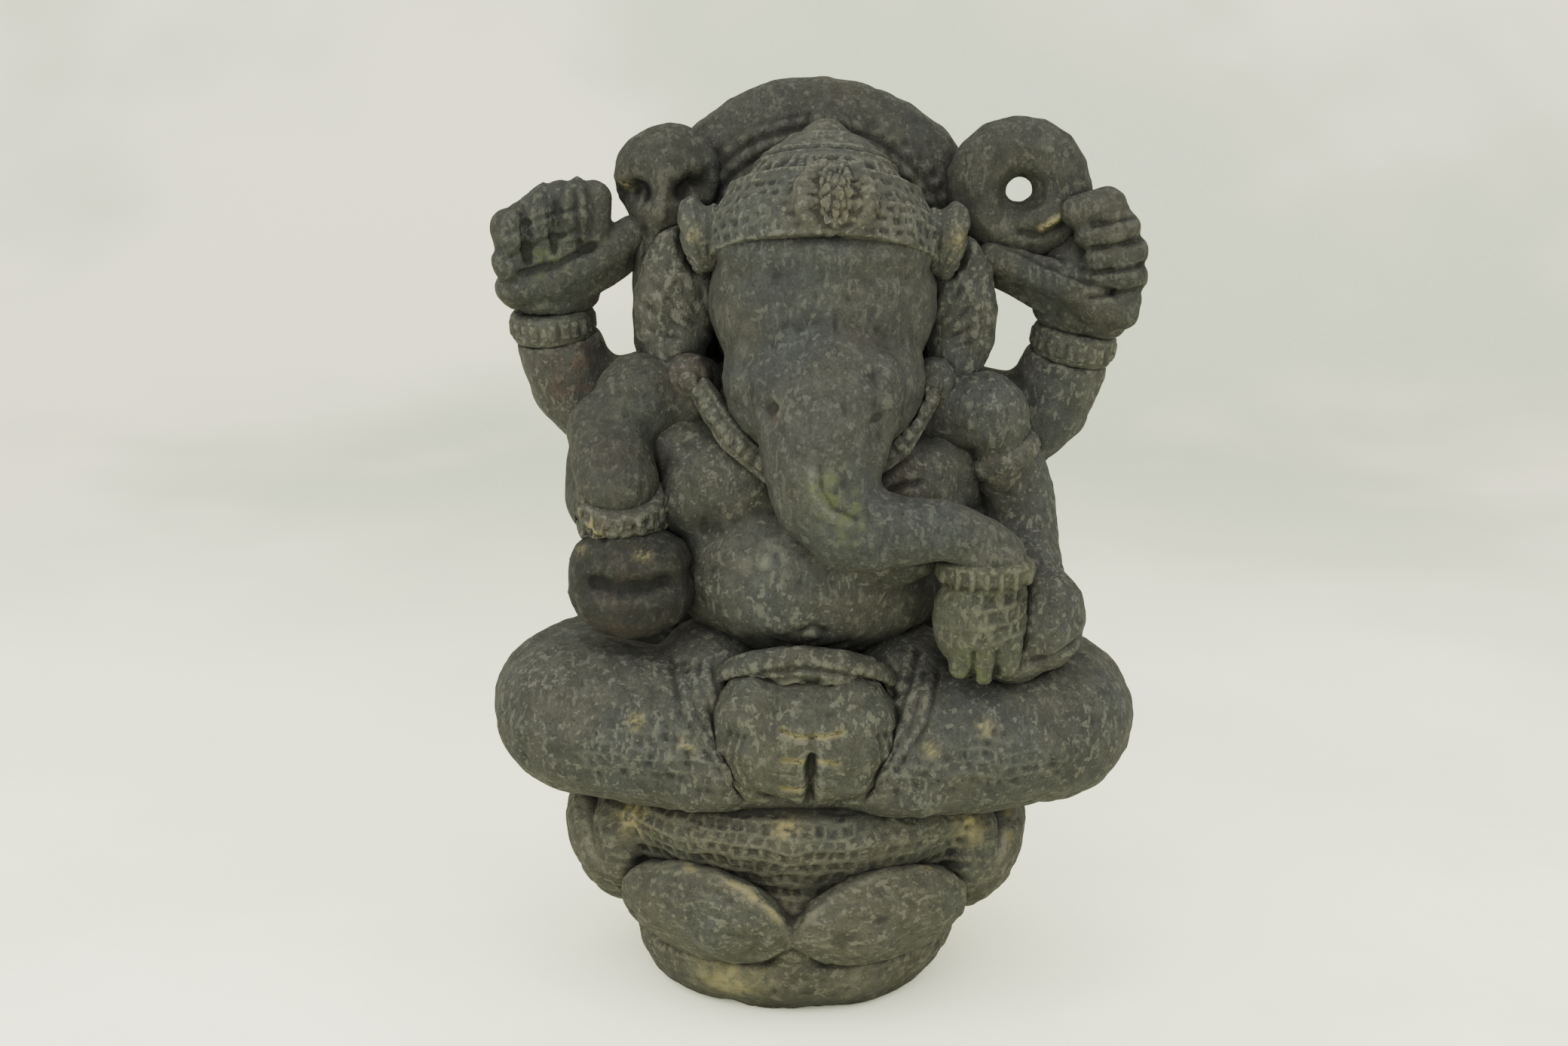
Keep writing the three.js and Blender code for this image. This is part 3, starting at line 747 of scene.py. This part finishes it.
# -- Ears
# Broad leaves of andesite laid back against the halo, fluted by folds that run in to the
# root. A round stud with a cut ring hangs at each lobe.
for side, sign in SIDES:
    node = f"ear_{side}"
    ear = Block(f"{node}_stone", [node], 1.0, 26)
    root = spot(node, 0.5 - sign * 0.55, 0.3, 0.30)
    offset = ear.start - root
    spread = np.arctan2(offset[:, 2], sign * offset[:, 0])
    distance = np.hypot(offset[:, 0], offset[:, 2])
    flute = np.cos(spread * 25 + 0.3 * grain(ear.start, 14, 71))
    ear.push(-0.55 * ear.front() * edge(distance, 10, 18) * edge(flute, 0.0, 1.0) * edge(spread, -0.2, 0.3))
    ear.groove([root + [sign * 17, 0, -20], root + [sign * 23, 0, 0], root + [sign * 23, 0, 20],
                root + [sign * 14, 0, 36]], 1.7, -0.9)
    ear.finish(SKIN_STONE, 0.9)

    node = f"earring_{side}"
    stud = Block(f"{node}_stone", [node], 0.8, 8)
    centre = spot(node, 0.5, 0.5, 0.5)
    gap = np.linalg.norm((stud.start - centre)[:, [0, 2]], axis=1)
    stud.push(-0.9 * stud.front() * hump(gap - 5.0, 1.0))
    stud.dab(centre, 9, "rust", 0.9 if sign < 0 else 0.3)
    stud.finish(SKIN_STONE, 0.6)


# -- Crown
# A leaning cap of stepped tiers on a broad diadem, in andesite. Its bands are filled with
# punched squares between thin worn ridges; a low jewel of leaves is carved on the front.
ORNAMENT_STONE = stone("ornament_stone", (0.0228, 0.0235, 0.0188), (0.0278, 0.0279, 0.0209),
                       (0.0226, 0.0245, 0.0205), (0.0675, 0.0688, 0.0512), 0.62)
CROWN = ["diadem", "crown_lower_tier", "crown_upper_tier", "crown_finial", "diadem_jewel"]
CROWN_LEAN = 25  # degrees

root = spot("diadem", 0.5, 0, 0)
lean = math.radians(CROWN_LEAN)
axis = np.array([0, math.sin(lean), math.cos(lean)])
ahead = np.array([0, -math.cos(lean), math.sin(lean)])
foot_of_axis = np.array([root[0], -13.0, 297.0])
swell = (foot_of_axis + 26 * axis, (31, 26, 27), (-CROWN_LEAN, 0, 0))
jewel = spot("diadem_jewel", 0.5, 0.5, 0.5)
setting = (jewel - 4.5 * ahead, (17, 8, 15), (-CROWN_LEAN, 0, 0))
crown = Block("crown_and_diadem", CROWN, 0.85, 9, [swell, setting])
offset = crown.start - foot_of_axis
height = offset @ axis
forward = offset @ ahead
radius = np.hypot(offset[:, 0], forward)
turn = np.arctan2(offset[:, 0], forward)
jewel_gap = np.hypot((crown.start[:, 0] - jewel[0]) / 10, (height - 14) / 13)
outside_jewel = edge(jewel_gap, 0.95, 1.15)
TIERS = (  # bottom and top along the axis, rows of squares, their width, radius, depth of cut
    (0.5, 25.5, 5, 6.4, 44, 0.8),
    (29.0, 37.0, 1, 7.6, 32, 2.8),
    (43.0, 47.5, 1, 6.0, 17, 0.6),
)
worn = 0.55 + 0.45 * edge(grain(crown.start, 20, 84), -0.5, 0.4)
for bottom, top, rows, width, reach, depth in TIERS:
    inside = edge(height, bottom - 0.6, bottom + 0.4) * (1 - edge(height, top - 0.4, top + 0.6))
    inside *= 1 - edge(np.abs(turn), 1.9, 2.3)
    pitch = (top - bottom) / rows
    sunk = pecked(turn * reach, height - bottom, width, pitch, crown.start, 81)
    crown.push(-depth * worn * inside * outside_jewel * edge(sunk, 0.8, 1.8))
    ledge = inside * (1 - edge(sunk, 0.5, 1.2))
    crown.stain("pale", (0.12 + 0.30 * (rows == 1)) * ledge * worn)
for level, ridge in ((27.5, 0.9), (38.5, 0.9), (42.0, 0.7), (49.0, 0.7)):
    crown.push(ridge * hump(height - level, 1.1) * outside_jewel)
for level, channel in ((-0.8, 0.3), (28.9, 0.6), (40.2, 0.9)):
    crown.push(-channel * hump(height - level, 0.8) * outside_jewel)
on_jewel = (1 - edge(jewel_gap, 0.9, 1.4)) * edge(forward, 20, 30)
veins = netting(crown.start * (1, 0.6, 0.8), 4.8, 85)
crown.push(-2.4 * on_jewel * edge(crown.out @ ahead, 0.3, 0.8))
crown.push(-1.0 * on_jewel * (1 - edge(veins, 0.3, 1.1)))
crown.stain("pale", 0.22 * on_jewel * edge(veins, 0.4, 1.2))
crown.dab(jewel + [2, 0, -4], 10, "ochre", 0.16)
crown.finish(ORNAMENT_STONE, 0.6)


# -- Diadem flaps
# Small fluted fans of andesite that stand out beside the diadem above each ear. Their ribs
# are scraped out from the root.
for side, sign in SIDES:
    node = f"diadem_flap_{side}"
    root_fill = [(spot(node, 0.5 - sign * 0.45, 0.45, 0.48), (9, 9, 15))]
    flap = Block(f"{node}_stone", [node], 0.85, 45, root_fill)
    inner = spot(node, 0.5 - sign * 0.5, 0, 0)[0]
    flap.at[:, 0] = inner + (flap.at[:, 0] - inner) * 0.75
    flap.at[:, 2] -= 0.20 * np.maximum(flap.at[:, 2] - spot(node, 0, 0, 0.5)[2], 0)
    flap.start = flap.at.copy()
    flap.look()
    root = spot(node, 0.5 - sign * 0.4, 0.5, 0.05)
    offset = flap.start - root
    spread = np.arctan2(offset[:, 2], sign * offset[:, 0])
    ribs = np.cos(spread * 20 + 0.4 * grain(flap.start, 9, 91))
    flap.push(-0.6 * edge(ribs, 0.0, 1.0) * edge(np.hypot(offset[:, 0], offset[:, 2]), 4, 9))
    flap.dab(spot(node, 0.5, 0.0, 0.5), 4, "ochre", 0.35)
    flap.finish(ORNAMENT_STONE, 0.7)


# -- Necklace
# A flat collar of andesite hanging from the shoulders behind the trunk. It is cut across
# into a row of small blocks between two plain edges.
BEAD = 5.0  # mm from one block to the next

necklace = Block("necklace_stone", ["necklace"], 0.85, 8)
chain = path_in("necklace", 0.2, (0.02, 0.92), (0.12, 0.62), (0.26, 0.36), (0.5, 0.10),
                (0.74, 0.36), (0.88, 0.62), (0.98, 0.92))
gap, along = necklace.reach(chain)
cut = off_line(along, BEAD)
necklace.push(-0.8 * necklace.front() * hump(cut, 0.9) * (1 - edge(gap, 2.5, 4.5)))
necklace.push(-0.6 * necklace.front() * hump(gap - 3.6, 0.8))
necklace.finish(ORNAMENT_STONE, 0.7)


# -- Front arms
# Round shoulders and short heavy arms of smoothed andesite, the right bent up to the raised
# fist and the left lowered behind the bowl.
HAND_STONE = stone("hand_stone", (0.0165, 0.0170, 0.0138), (0.0201, 0.0202, 0.0153),
                   (0.0164, 0.0178, 0.0151), (0.0489, 0.0500, 0.0376), 0.5)
for side, sign in SIDES:
    node = f"shoulder_{side}"
    muscle = [(spot(node, 0.5 - sign * 0.42, 0.60, 0.55), (19, 15, 17)),
              (spot(node, 0.5 + sign * 0.10, 0.55, 0.05), (18, 17, 17))]
    if side == "R":
        muscle += rod([(-80, -19, 232), (-77, -29, 222), (-75, -33, 214)], (16, 16.5, 16.5))
    arm = Block(f"front_arm_{side}", [node, f"arm_{side}"], 1.05, 40, muscle)
    if side == "R":
        arm.dab(spot("shoulder_R", 0.30, 0.1, 0.35), 6, "pale", 0.9)
        arm.dab(spot("arm_R", 0.55, 0.1, 0.65), 7, "rust", 0.4)
    else:
        arm.dab(spot("arm_L", 0.45, 0.1, 0.70), 9, "ochre", 0.45)
        arm.groove([(61, -25, 223), (62, -25, 212)], 5.0, 4.0)
    # The right front arm takes the darker hand stone instead of the skin stone. This is painted shade,
    # darkening the arm as if it lay in shadow.
    arm.finish(HAND_STONE if side == "R" else SKIN_STONE, 0.9)


# -- Armbands and bracelets
# Raised bands left standing a few millimetres proud of the andesite limbs, with a row of
# squares punched between two ridges.
BRACELET_RADIUS = 17
BANDS = (("armband_R", (4, 24), 5.5), ("armband_L", (4, -22), 5.5), ("bracelet_R", (24, 0), 6.5),
         ("rear_bracelet_R", (4, -6), 4.6), ("rear_bracelet_L", (4, 10), 4.6))
for node, (tip, swing), pitch in BANDS:
    hoop = Block(f"{node}_stone", [node], 0.8, 7)
    turned = Matrix.Rotation(math.radians(swing), 3, "Y") @ Matrix.Rotation(math.radians(tip), 3, "X")
    axis = np.array(turned @ Vector((0, 0, 1)))
    centre = spot(node, 0.5, 0.5, 0.5)
    offset = hoop.start - centre
    height = offset @ axis
    flat = offset - height[:, None] * axis
    turn = np.arctan2(flat[:, 0], -flat[:, 1])
    radius = np.linalg.norm(flat, axis=1)
    half = (height.max() - height.min()) / 2
    cut = off_line(turn * np.percentile(radius, 90), pitch)
    wall = 1 - edge(np.abs(hoop.out @ axis), 0.5, 0.8)
    inside = wall * (1 - edge(np.abs(height), half * 0.45, half * 0.6))
    carved = 0.5 if node.startswith("armband") else 0.8
    hoop.push(-1.0 * carved * inside * hump(cut, 1.0))
    hoop.push(-0.9 * carved * wall * hump(np.abs(height) - half * 0.62, 0.8))
    ridge = wall * hump(np.abs(height) - half * 0.85, 0.9)
    hoop.stain("pale", 0.4 * ridge)
    if node == "bracelet_R":
        border = pecked(turn * BRACELET_RADIUS, height, 7.0, 8.0, hoop.start, 95)
        hoop.push(-1.0 * wall * edge(border, 0.6, 1.8))
        flecks = wall * (1 - edge(border, 0.4, 1.2)) * edge(grain(hoop.start, 7, 96), 0.1, 0.8)
        hoop.stain("ochre", flecks)
    hoop.finish(ORNAMENT_STONE, 0.6)


# -- Right fist
# The hand is closed over a broken tusk, in darker, handled andesite: a full lower lobe, a
# deep level cut and the curled fingers above it.
FIST_STONE = stone("fist_stone", (0.0092, 0.0095, 0.0079), (0.0112, 0.0113, 0.0088),
                   (0.0111, 0.0120, 0.0103), (0.0343, 0.0350, 0.0267), 0.4)
wrist = [((-69, -40, 185), (23, 20, 12)), ((-84, -41, 178), (9.5, 15, 16))]
fist = Block("right_fist", ["fist_R"], 1.0, 22, wrist)
fist.groove(path_in("fist_R", 0.1, (0.24, 0.58), (0.45, 0.56), (0.65, 0.57), (0.78, 0.60)), 3.4, 3.0)
fist.groove(path_in("fist_R", 0.2, (0.05, 0.82), (0.3, 0.86), (0.6, 0.85), (0.85, 0.80)), 1.0, -0.4)
fist.dab(spot("fist_R", 0.45, 0.1, 0.25), 17, "rust", 0.35)
fist.dab(spot("fist_R", 0.08, 0.3, 0.86), 3, "ochre", 0.8)
fist.dab(spot("fist_R", 0.62, 0.1, 0.88), 3, "ochre", 0.8)
for across in (0.30, 0.62):
    fist.groove(path_in("fist_R", 0.1, (across, 0.98), (across + 0.02, 0.76)), 1.3, 0.6)
fist.finish(FIST_STONE, 0.8)


# -- Bowl of sweets and the left hand under it
# The andesite heap is crazed with a point into cells with worn pale edges. A collar of
# squares rings its top where the trunk dips in, and three finger-ends hang below.
SWEET_STONE = stone("sweet_stone", (0.0216, 0.0225, 0.0162), (0.0264, 0.0268, 0.0180),
                    (0.0215, 0.0235, 0.0178), (0.0641, 0.0662, 0.0443), 0.62)
CRAZE_WIDTH = 5.4
CRAZE_HEIGHT = 6.0
COLLAR_SQUARE = 5.6

BOWL = "sweet_bowl"
low, high = corners(BOWL)
fingers = []
for across, tip in ((0.24, 0.16), (0.50, 0.12), (0.76, 0.18)):
    finger = [spot(BOWL, across, 0.18, 0.36), spot(BOWL, across, 0.22, tip)]
    fingers += rod(finger, (5.2, 4.6))
brim = [(spot(BOWL, 0.48, 0.30, 0.86), (20, 17, 9)), (spot(BOWL, 0.44, 0.34, 0.50), (18, 16, 22))]
bowl = Block("sweet_bowl_stone", [BOWL], 0.8, 14, fingers + brim)
here = bowl.start
share = (here[:, 2] - low[2]) / (high[2] - low[2])
front = bowl.front()
cells = pecked(here[:, 0], here[:, 2] - 0.15 * here[:, 0], CRAZE_WIDTH, CRAZE_HEIGHT, here, 101)
crazed = front * edge(share, 0.34, 0.44) * (1 - edge(share, 0.72, 0.76))
across = (here[:, 0] - low[0]) / (high[0] - low[0])
crazed *= 0.4 + 0.6 * edge(across, 0.25, 0.55)
bowl.push(-0.8 * crazed * edge(cells, 0.5, 1.7))
bowl.stain("pale", 0.45 * crazed * (1 - edge(cells, 0.3, 1.0)))
collar = front * edge(share, 0.74, 0.77) * (1 - edge(share, 0.89, 0.92))
cut = off_line(here[:, 0] - low[0], COLLAR_SQUARE)
bowl.push(-1.1 * collar * edge(cut, 0.6, 1.5))
bowl.stain("pale", 0.5 * collar * (1 - edge(cut, 0.6, 1.3)))
for level in (0.73, 0.93):
    bowl.groove(path_in(BOWL, 0.1, (0, level), (1, level)), 1.2, -0.3)
for between in (0.37, 0.63):
    bowl.groove(path_in(BOWL, 0.1, (between, 0.32), (between, 0.04)), 1.2, 1.5)
bowl.dab(spot(BOWL, 0.24, 0.05, 0.16), 12, "moss", 0.9)
bowl.finish(SWEET_STONE, 0.7)

palm = Block("left_hand", ["hand_L"], 1.0, 16)
palm.groove(path_in("hand_L", 0.1, (0.10, 0.36), (0.40, 0.27), (0.70, 0.30), (0.92, 0.42)), 1.8, 1.9)
palm.groove(path_in("hand_L", 0.1, (0.34, 0.95), (0.30, 0.72), (0.34, 0.50)), 1.1, 1.0, "pale")
palm.finish(SKIN_STONE, 0.8)


# -- Rear arms
# Two slim arms rising outside the ears. Bare andesite, rubbed smooth, with a reddish bloom
# under the right bracelet.
for side in ("R", "L"):
    arm = Block(f"rear_arm_{side}_stone", [f"rear_arm_{side}"], 1.1, 50)
    if side == "R":
        arm.dab(spot("rear_arm_R", 0.28, 0.1, 0.72), 13, "rust", 1.0)
    arm.finish(SKIN_STONE, 0.8)


# -- Rear right hand
# Four andesite fingers folded side by side over the handle of the axe and parted by chisel
# cuts, with the heel of the hand as a long roll below them.
PALM_R = "rear_hand_R"
KNUCKLES = (  # across and up the box at the knuckle, then at the fingertip
    ((0.10, 0.69), (0.15, 0.42)),
    ((0.29, 0.81), (0.34, 0.50)),
    ((0.47, 0.895), (0.53, 0.58)),
    ((0.70, 0.90), (0.71, 0.66)),
)
parts = [(spot(PALM_R, 0.42, 0.50, 0.52), (23, 12, 18), (0, 20, 0)),
         (spot(PALM_R, 0.40, 0.40, 0.42), (22, 10, 8), (0, -20, 0))]
for (across, top), (tip_across, tip) in KNUCKLES:
    finger = [spot(PALM_R, across, 0.36, top - 0.07), spot(PALM_R, tip_across, 0.30, tip - 0.06)]
    parts += rod(finger, (7.8, 6.6))
parts += rod(path_in(PALM_R, 0.25, (0.09, 0.40), (0.10, 0.37)), (6.5, 6.5))
parts += rod([spot(PALM_R, 0.12, 0.35, 0.20), spot(PALM_R, 0.45, 0.30, 0.28),
              spot(PALM_R, 0.85, 0.35, 0.50), spot(PALM_R, 0.97, 0.4, 0.60)], (7, 8, 8, 7))
hand = Block("rear_hand_R_stone", [PALM_R], 0.9, 5, parts)
for finger, following in zip(np.array(KNUCKLES), np.array(KNUCKLES)[1:]):
    parting = (finger + following) / 2 + [[0, 0.03], [0, -0.06]]
    hand.groove(path_in(PALM_R, 0, *parting), 1.2, 1.3)
hand.groove(path_in(PALM_R, 0, (0.2, 0.33), (0.45, 0.40), (0.72, 0.53)), 1.5, 1.7)
for joint in (((0.08, 0.60), (0.34, 0.72), (0.58, 0.80)), ((0.08, 0.43), (0.34, 0.55), (0.58, 0.63))):
    hand.groove(path_in(PALM_R, 0, *joint), 1.1, 1.0)
hand.dab(spot(PALM_R, 0.35, 0.1, 0.42), 6, "moss", 0.8)
hand.finish(HAND_STONE, 0.7)


# -- Axe
# A rounded andesite blade standing up beside the halo, with two deep drilled hollows and a
# ridge between them. The shaft drops behind the shoulder.
shaft = [((-53, 10, 272), (15, 11, 27), (0, -8, 0))]
axe = Block("axe_stone", ["axe"], 1.0, 26, shaft)
for across, high in ((0.20, 0.745), (0.74, 0.775)):
    drilled = spot("axe", across, 0.1, high)
    axe.groove([drilled + [-3, 0, -2], drilled + [0, 0, 1], drilled + [3, 0, 0]], 3.8, 7.5)
between = spot("axe", 0.48, 0.05, 0.76)
axe.groove([between + [0, 0, 6], between + [-1, 0, -9]], 3.0, -1.6)
axe.groove(path_in("axe", 0, (0.30, 0.60), (0.34, 0.25)), 1.8, 1.5)
axe.dab(spot("axe", 0.80, 0.1, 0.58), 4.0, "ochre", 1.0)
axe.dab(spot("axe", 0.05, 0.3, 0.76), 3.0, "ochre", 1.0)
axe.dab(spot("axe", 0.72, 0.1, 0.68), 6.0, "rust", 0.6)
axe.finish(HALO_STONE, 0.9)


# -- Noose
# A thick smooth loop of rope carved in andesite, with a small eye drilled through it. Its
# tucked end shows as a leaf below the eye.
spine = [spot("noose", *point) for point in ((0.52, 0.15, 0.30), (0.66, 0.10, 0.34), (0.80, 0.15, 0.42))]
leaf = rod(spine, (3.0, 5.0, 3.0))
noose = Block("noose_stone", ["noose"], 0.95, 12, leaf)
noose.groove(path_in("noose", 0, (0.50, 0.24), (0.66, 0.21), (0.82, 0.30)), 1.6, 1.8)
noose.groove(path_in("noose", 0, (0.64, 0.27), (0.80, 0.38)), 1.3, -1.0, "ochre")
noose.finish(HAND_STONE, 0.9)


# -- Rear left hand
# Small andesite knuckles up the outer side, parted by chisel cuts, and the heel of the hand
# as a slanting roll that runs in under the noose.
PALM_L = "rear_hand_L"
parts = rod([spot(PALM_L, 0.05, 0.3, 0.56), spot(PALM_L, 0.46, 0.22, 0.42),
             spot(PALM_L, 0.86, 0.25, 0.22)], (6, 8, 8))
OUTER_KNUCKLES = ((0.78, 0.93), (0.87, 0.78), (0.93, 0.61), (0.93, 0.44), (0.90, 0.28))
for across, high in OUTER_KNUCKLES:
    knuckle = [spot(PALM_L, across - 0.22, 0.2, high - 0.04), spot(PALM_L, across - 0.02, 0.3, high)]
    parts += rod(knuckle, (6.4, 7.4))
hand = Block("rear_hand_L_stone", [PALM_L], 0.9, 9, parts)
for (_, upper), (_, lower) in zip(OUTER_KNUCKLES, OUTER_KNUCKLES[1:]):
    between = (upper + lower) / 2
    hand.groove(path_in(PALM_L, 0, (0.66, between - 0.04), (0.99, between + 0.02)), 1.1, 1.4)
hand.groove(path_in(PALM_L, 0, (0.16, 0.66), (0.45, 0.52), (0.80, 0.36)), 1.5, 1.9)
hand.finish(HAND_STONE, 0.8)


# -- Studio
# A pale seamless paper sweep under and behind the idol, hung in one curve from wall to
# floor; soft overhead light; and a camera a little above the idol, looking down.
SWEEP_HALF_WIDTH = 3.0
SWEEP_FRONT = -2.5
SWEEP_BACK = 0.9
SWEEP_BEND = 0.7  # radius of the bend from floor to wall
SWEEP_TOP = 2.6

floor_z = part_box("base_foot")[0].z
profile = [(SWEEP_FRONT, 0.0)]
profile += [(SWEEP_BACK + SWEEP_BEND * math.sin(t), SWEEP_BEND * (1 - math.cos(t)))
            for t in np.linspace(0, math.pi / 2, 24)]
profile.append((SWEEP_BACK + SWEEP_BEND, SWEEP_TOP))
sheet = bmesh.new()
edges = (-SWEEP_HALF_WIDTH, SWEEP_HALF_WIDTH)
rows = [[sheet.verts.new((x, y, floor_z + z)) for x in edges] for y, z in profile]
for (a, b), (c, d) in zip(rows, rows[1:]):
    sheet.faces.new((a, b, d, c))
mesh = bpy.data.meshes.new("paper_sweep")
sheet.to_mesh(mesh)
sheet.free()
mesh.polygons.foreach_set("use_smooth", np.ones(len(mesh.polygons), bool))
sweep = bpy.data.objects.new("paper_sweep", mesh)
bpy.context.scene.collection.objects.link(sweep)

paper = Nodes("pale_paper")
# Painted light and shade: the floor part of the paper is kept lighter and the wall part is painted darker,
# as if more light fell on the floor than on the wall.
lit = paper.step(paper.noise(3.5, 4, 0.6), 0.38, 0.64)
lit_floor_tone = paper.blend(lit, (0.985, 0.985, 0.73), (0.86, 0.90, 0.66))
mottled = paper.step(paper.noise(1.3, 4, 0.6, seed=2.0), 0.40, 0.62)
shaded_wall_tone = paper.blend(mottled, (0.44, 0.475, 0.35), (0.72, 0.70, 0.53))
split = paper.add("ShaderNodeSeparateXYZ")
paper.feed(split.inputs["Vector"], paper.place)
behind = paper.step(split.outputs["Y"], 0.05, 0.9)
tone = paper.blend(behind, lit_floor_tone, shaded_wall_tone)
fibre = paper.step(paper.noise(300, 2, 0.6), 0.3, 0.7, 0.0, 0.10)
tone = paper.blend(fibre, tone, (0.66, 0.66, 0.60))
cloth = paper.add("ShaderNodeBsdfPrincipled")
paper.feed(cloth.inputs["Base Color"], tone)
cloth.inputs["Roughness"].default_value = 0.95
cloth.inputs["Specular IOR Level"].default_value = 0.1
result = paper.add("ShaderNodeOutputMaterial")
paper.feed(result.inputs["Surface"], cloth.outputs["BSDF"])
mesh.materials.append(paper.material)

world = bpy.data.worlds.new("studio")
world.use_nodes = True
world.node_tree.nodes["Background"].inputs["Color"].default_value = (1.0, 0.995, 0.97, 1)
world.node_tree.nodes["Background"].inputs["Strength"].default_value = 2.4
bpy.context.scene.world = world


def softbox(name, place, target, size, watts, colour):
    lamp = bpy.data.lights.new(name, "AREA")
    lamp.shape = "RECTANGLE"
    lamp.size, lamp.size_y = size
    lamp.energy = watts
    lamp.color = colour
    holder = bpy.data.objects.new(name, lamp)
    holder.location = place
    holder.rotation_mode = "QUATERNION"
    holder.rotation_quaternion = (Vector(target) - Vector(place)).to_track_quat("-Z", "Y")
    bpy.context.scene.collection.objects.link(holder)


middle = (cad_box[0] + cad_box[1]) / 2
softbox("overhead", (-0.25, -0.6, 1.6), middle, (1.4, 1.2), 24, (1.0, 0.985, 0.94))
softbox("front_fill", (-0.2, -1.7, 0.9), middle, (1.5, 1.0), 30, (1.0, 0.99, 0.95))
softbox("left_fill", (-1.5, -0.9, 0.9), middle, (1.2, 1.2), 14, (0.97, 0.99, 1.0))
softbox("right_fill", (1.6, -0.6, 0.8), middle, (1.2, 1.2), 11, (1.0, 0.98, 0.96))

CAMERA_HEIGHT_ANGLE = math.radians(16)
CAMERA_DISTANCE = 1.1
CAMERA_ROLL = math.radians(1.06)
AIM_FROM_FRONT = 0.065  # the camera is aimed this far behind the front of the idol
low, high = cad_box
aim = Vector((middle.x, low.y + AIM_FROM_FRONT, 0.495 * (low.z + high.z)))
back = Vector((0, -math.cos(CAMERA_HEIGHT_ANGLE), math.sin(CAMERA_HEIGHT_ANGLE)))
camera_data = bpy.data.cameras.new("camera")
camera_data.lens = 64.1
camera_data.sensor_width = 36
camera_data.shift_x = -0.0207
camera_data.shift_y = 0.0251
camera = bpy.data.objects.new("camera", camera_data)
camera.rotation_mode = "QUATERNION"
camera.location = aim + back * CAMERA_DISTANCE
level = (-back).to_track_quat("-Z", "Y")
camera.rotation_quaternion = level @ Euler((0, 0, CAMERA_ROLL)).to_quaternion()
bpy.context.scene.collection.objects.link(camera)
bpy.context.scene.camera = camera
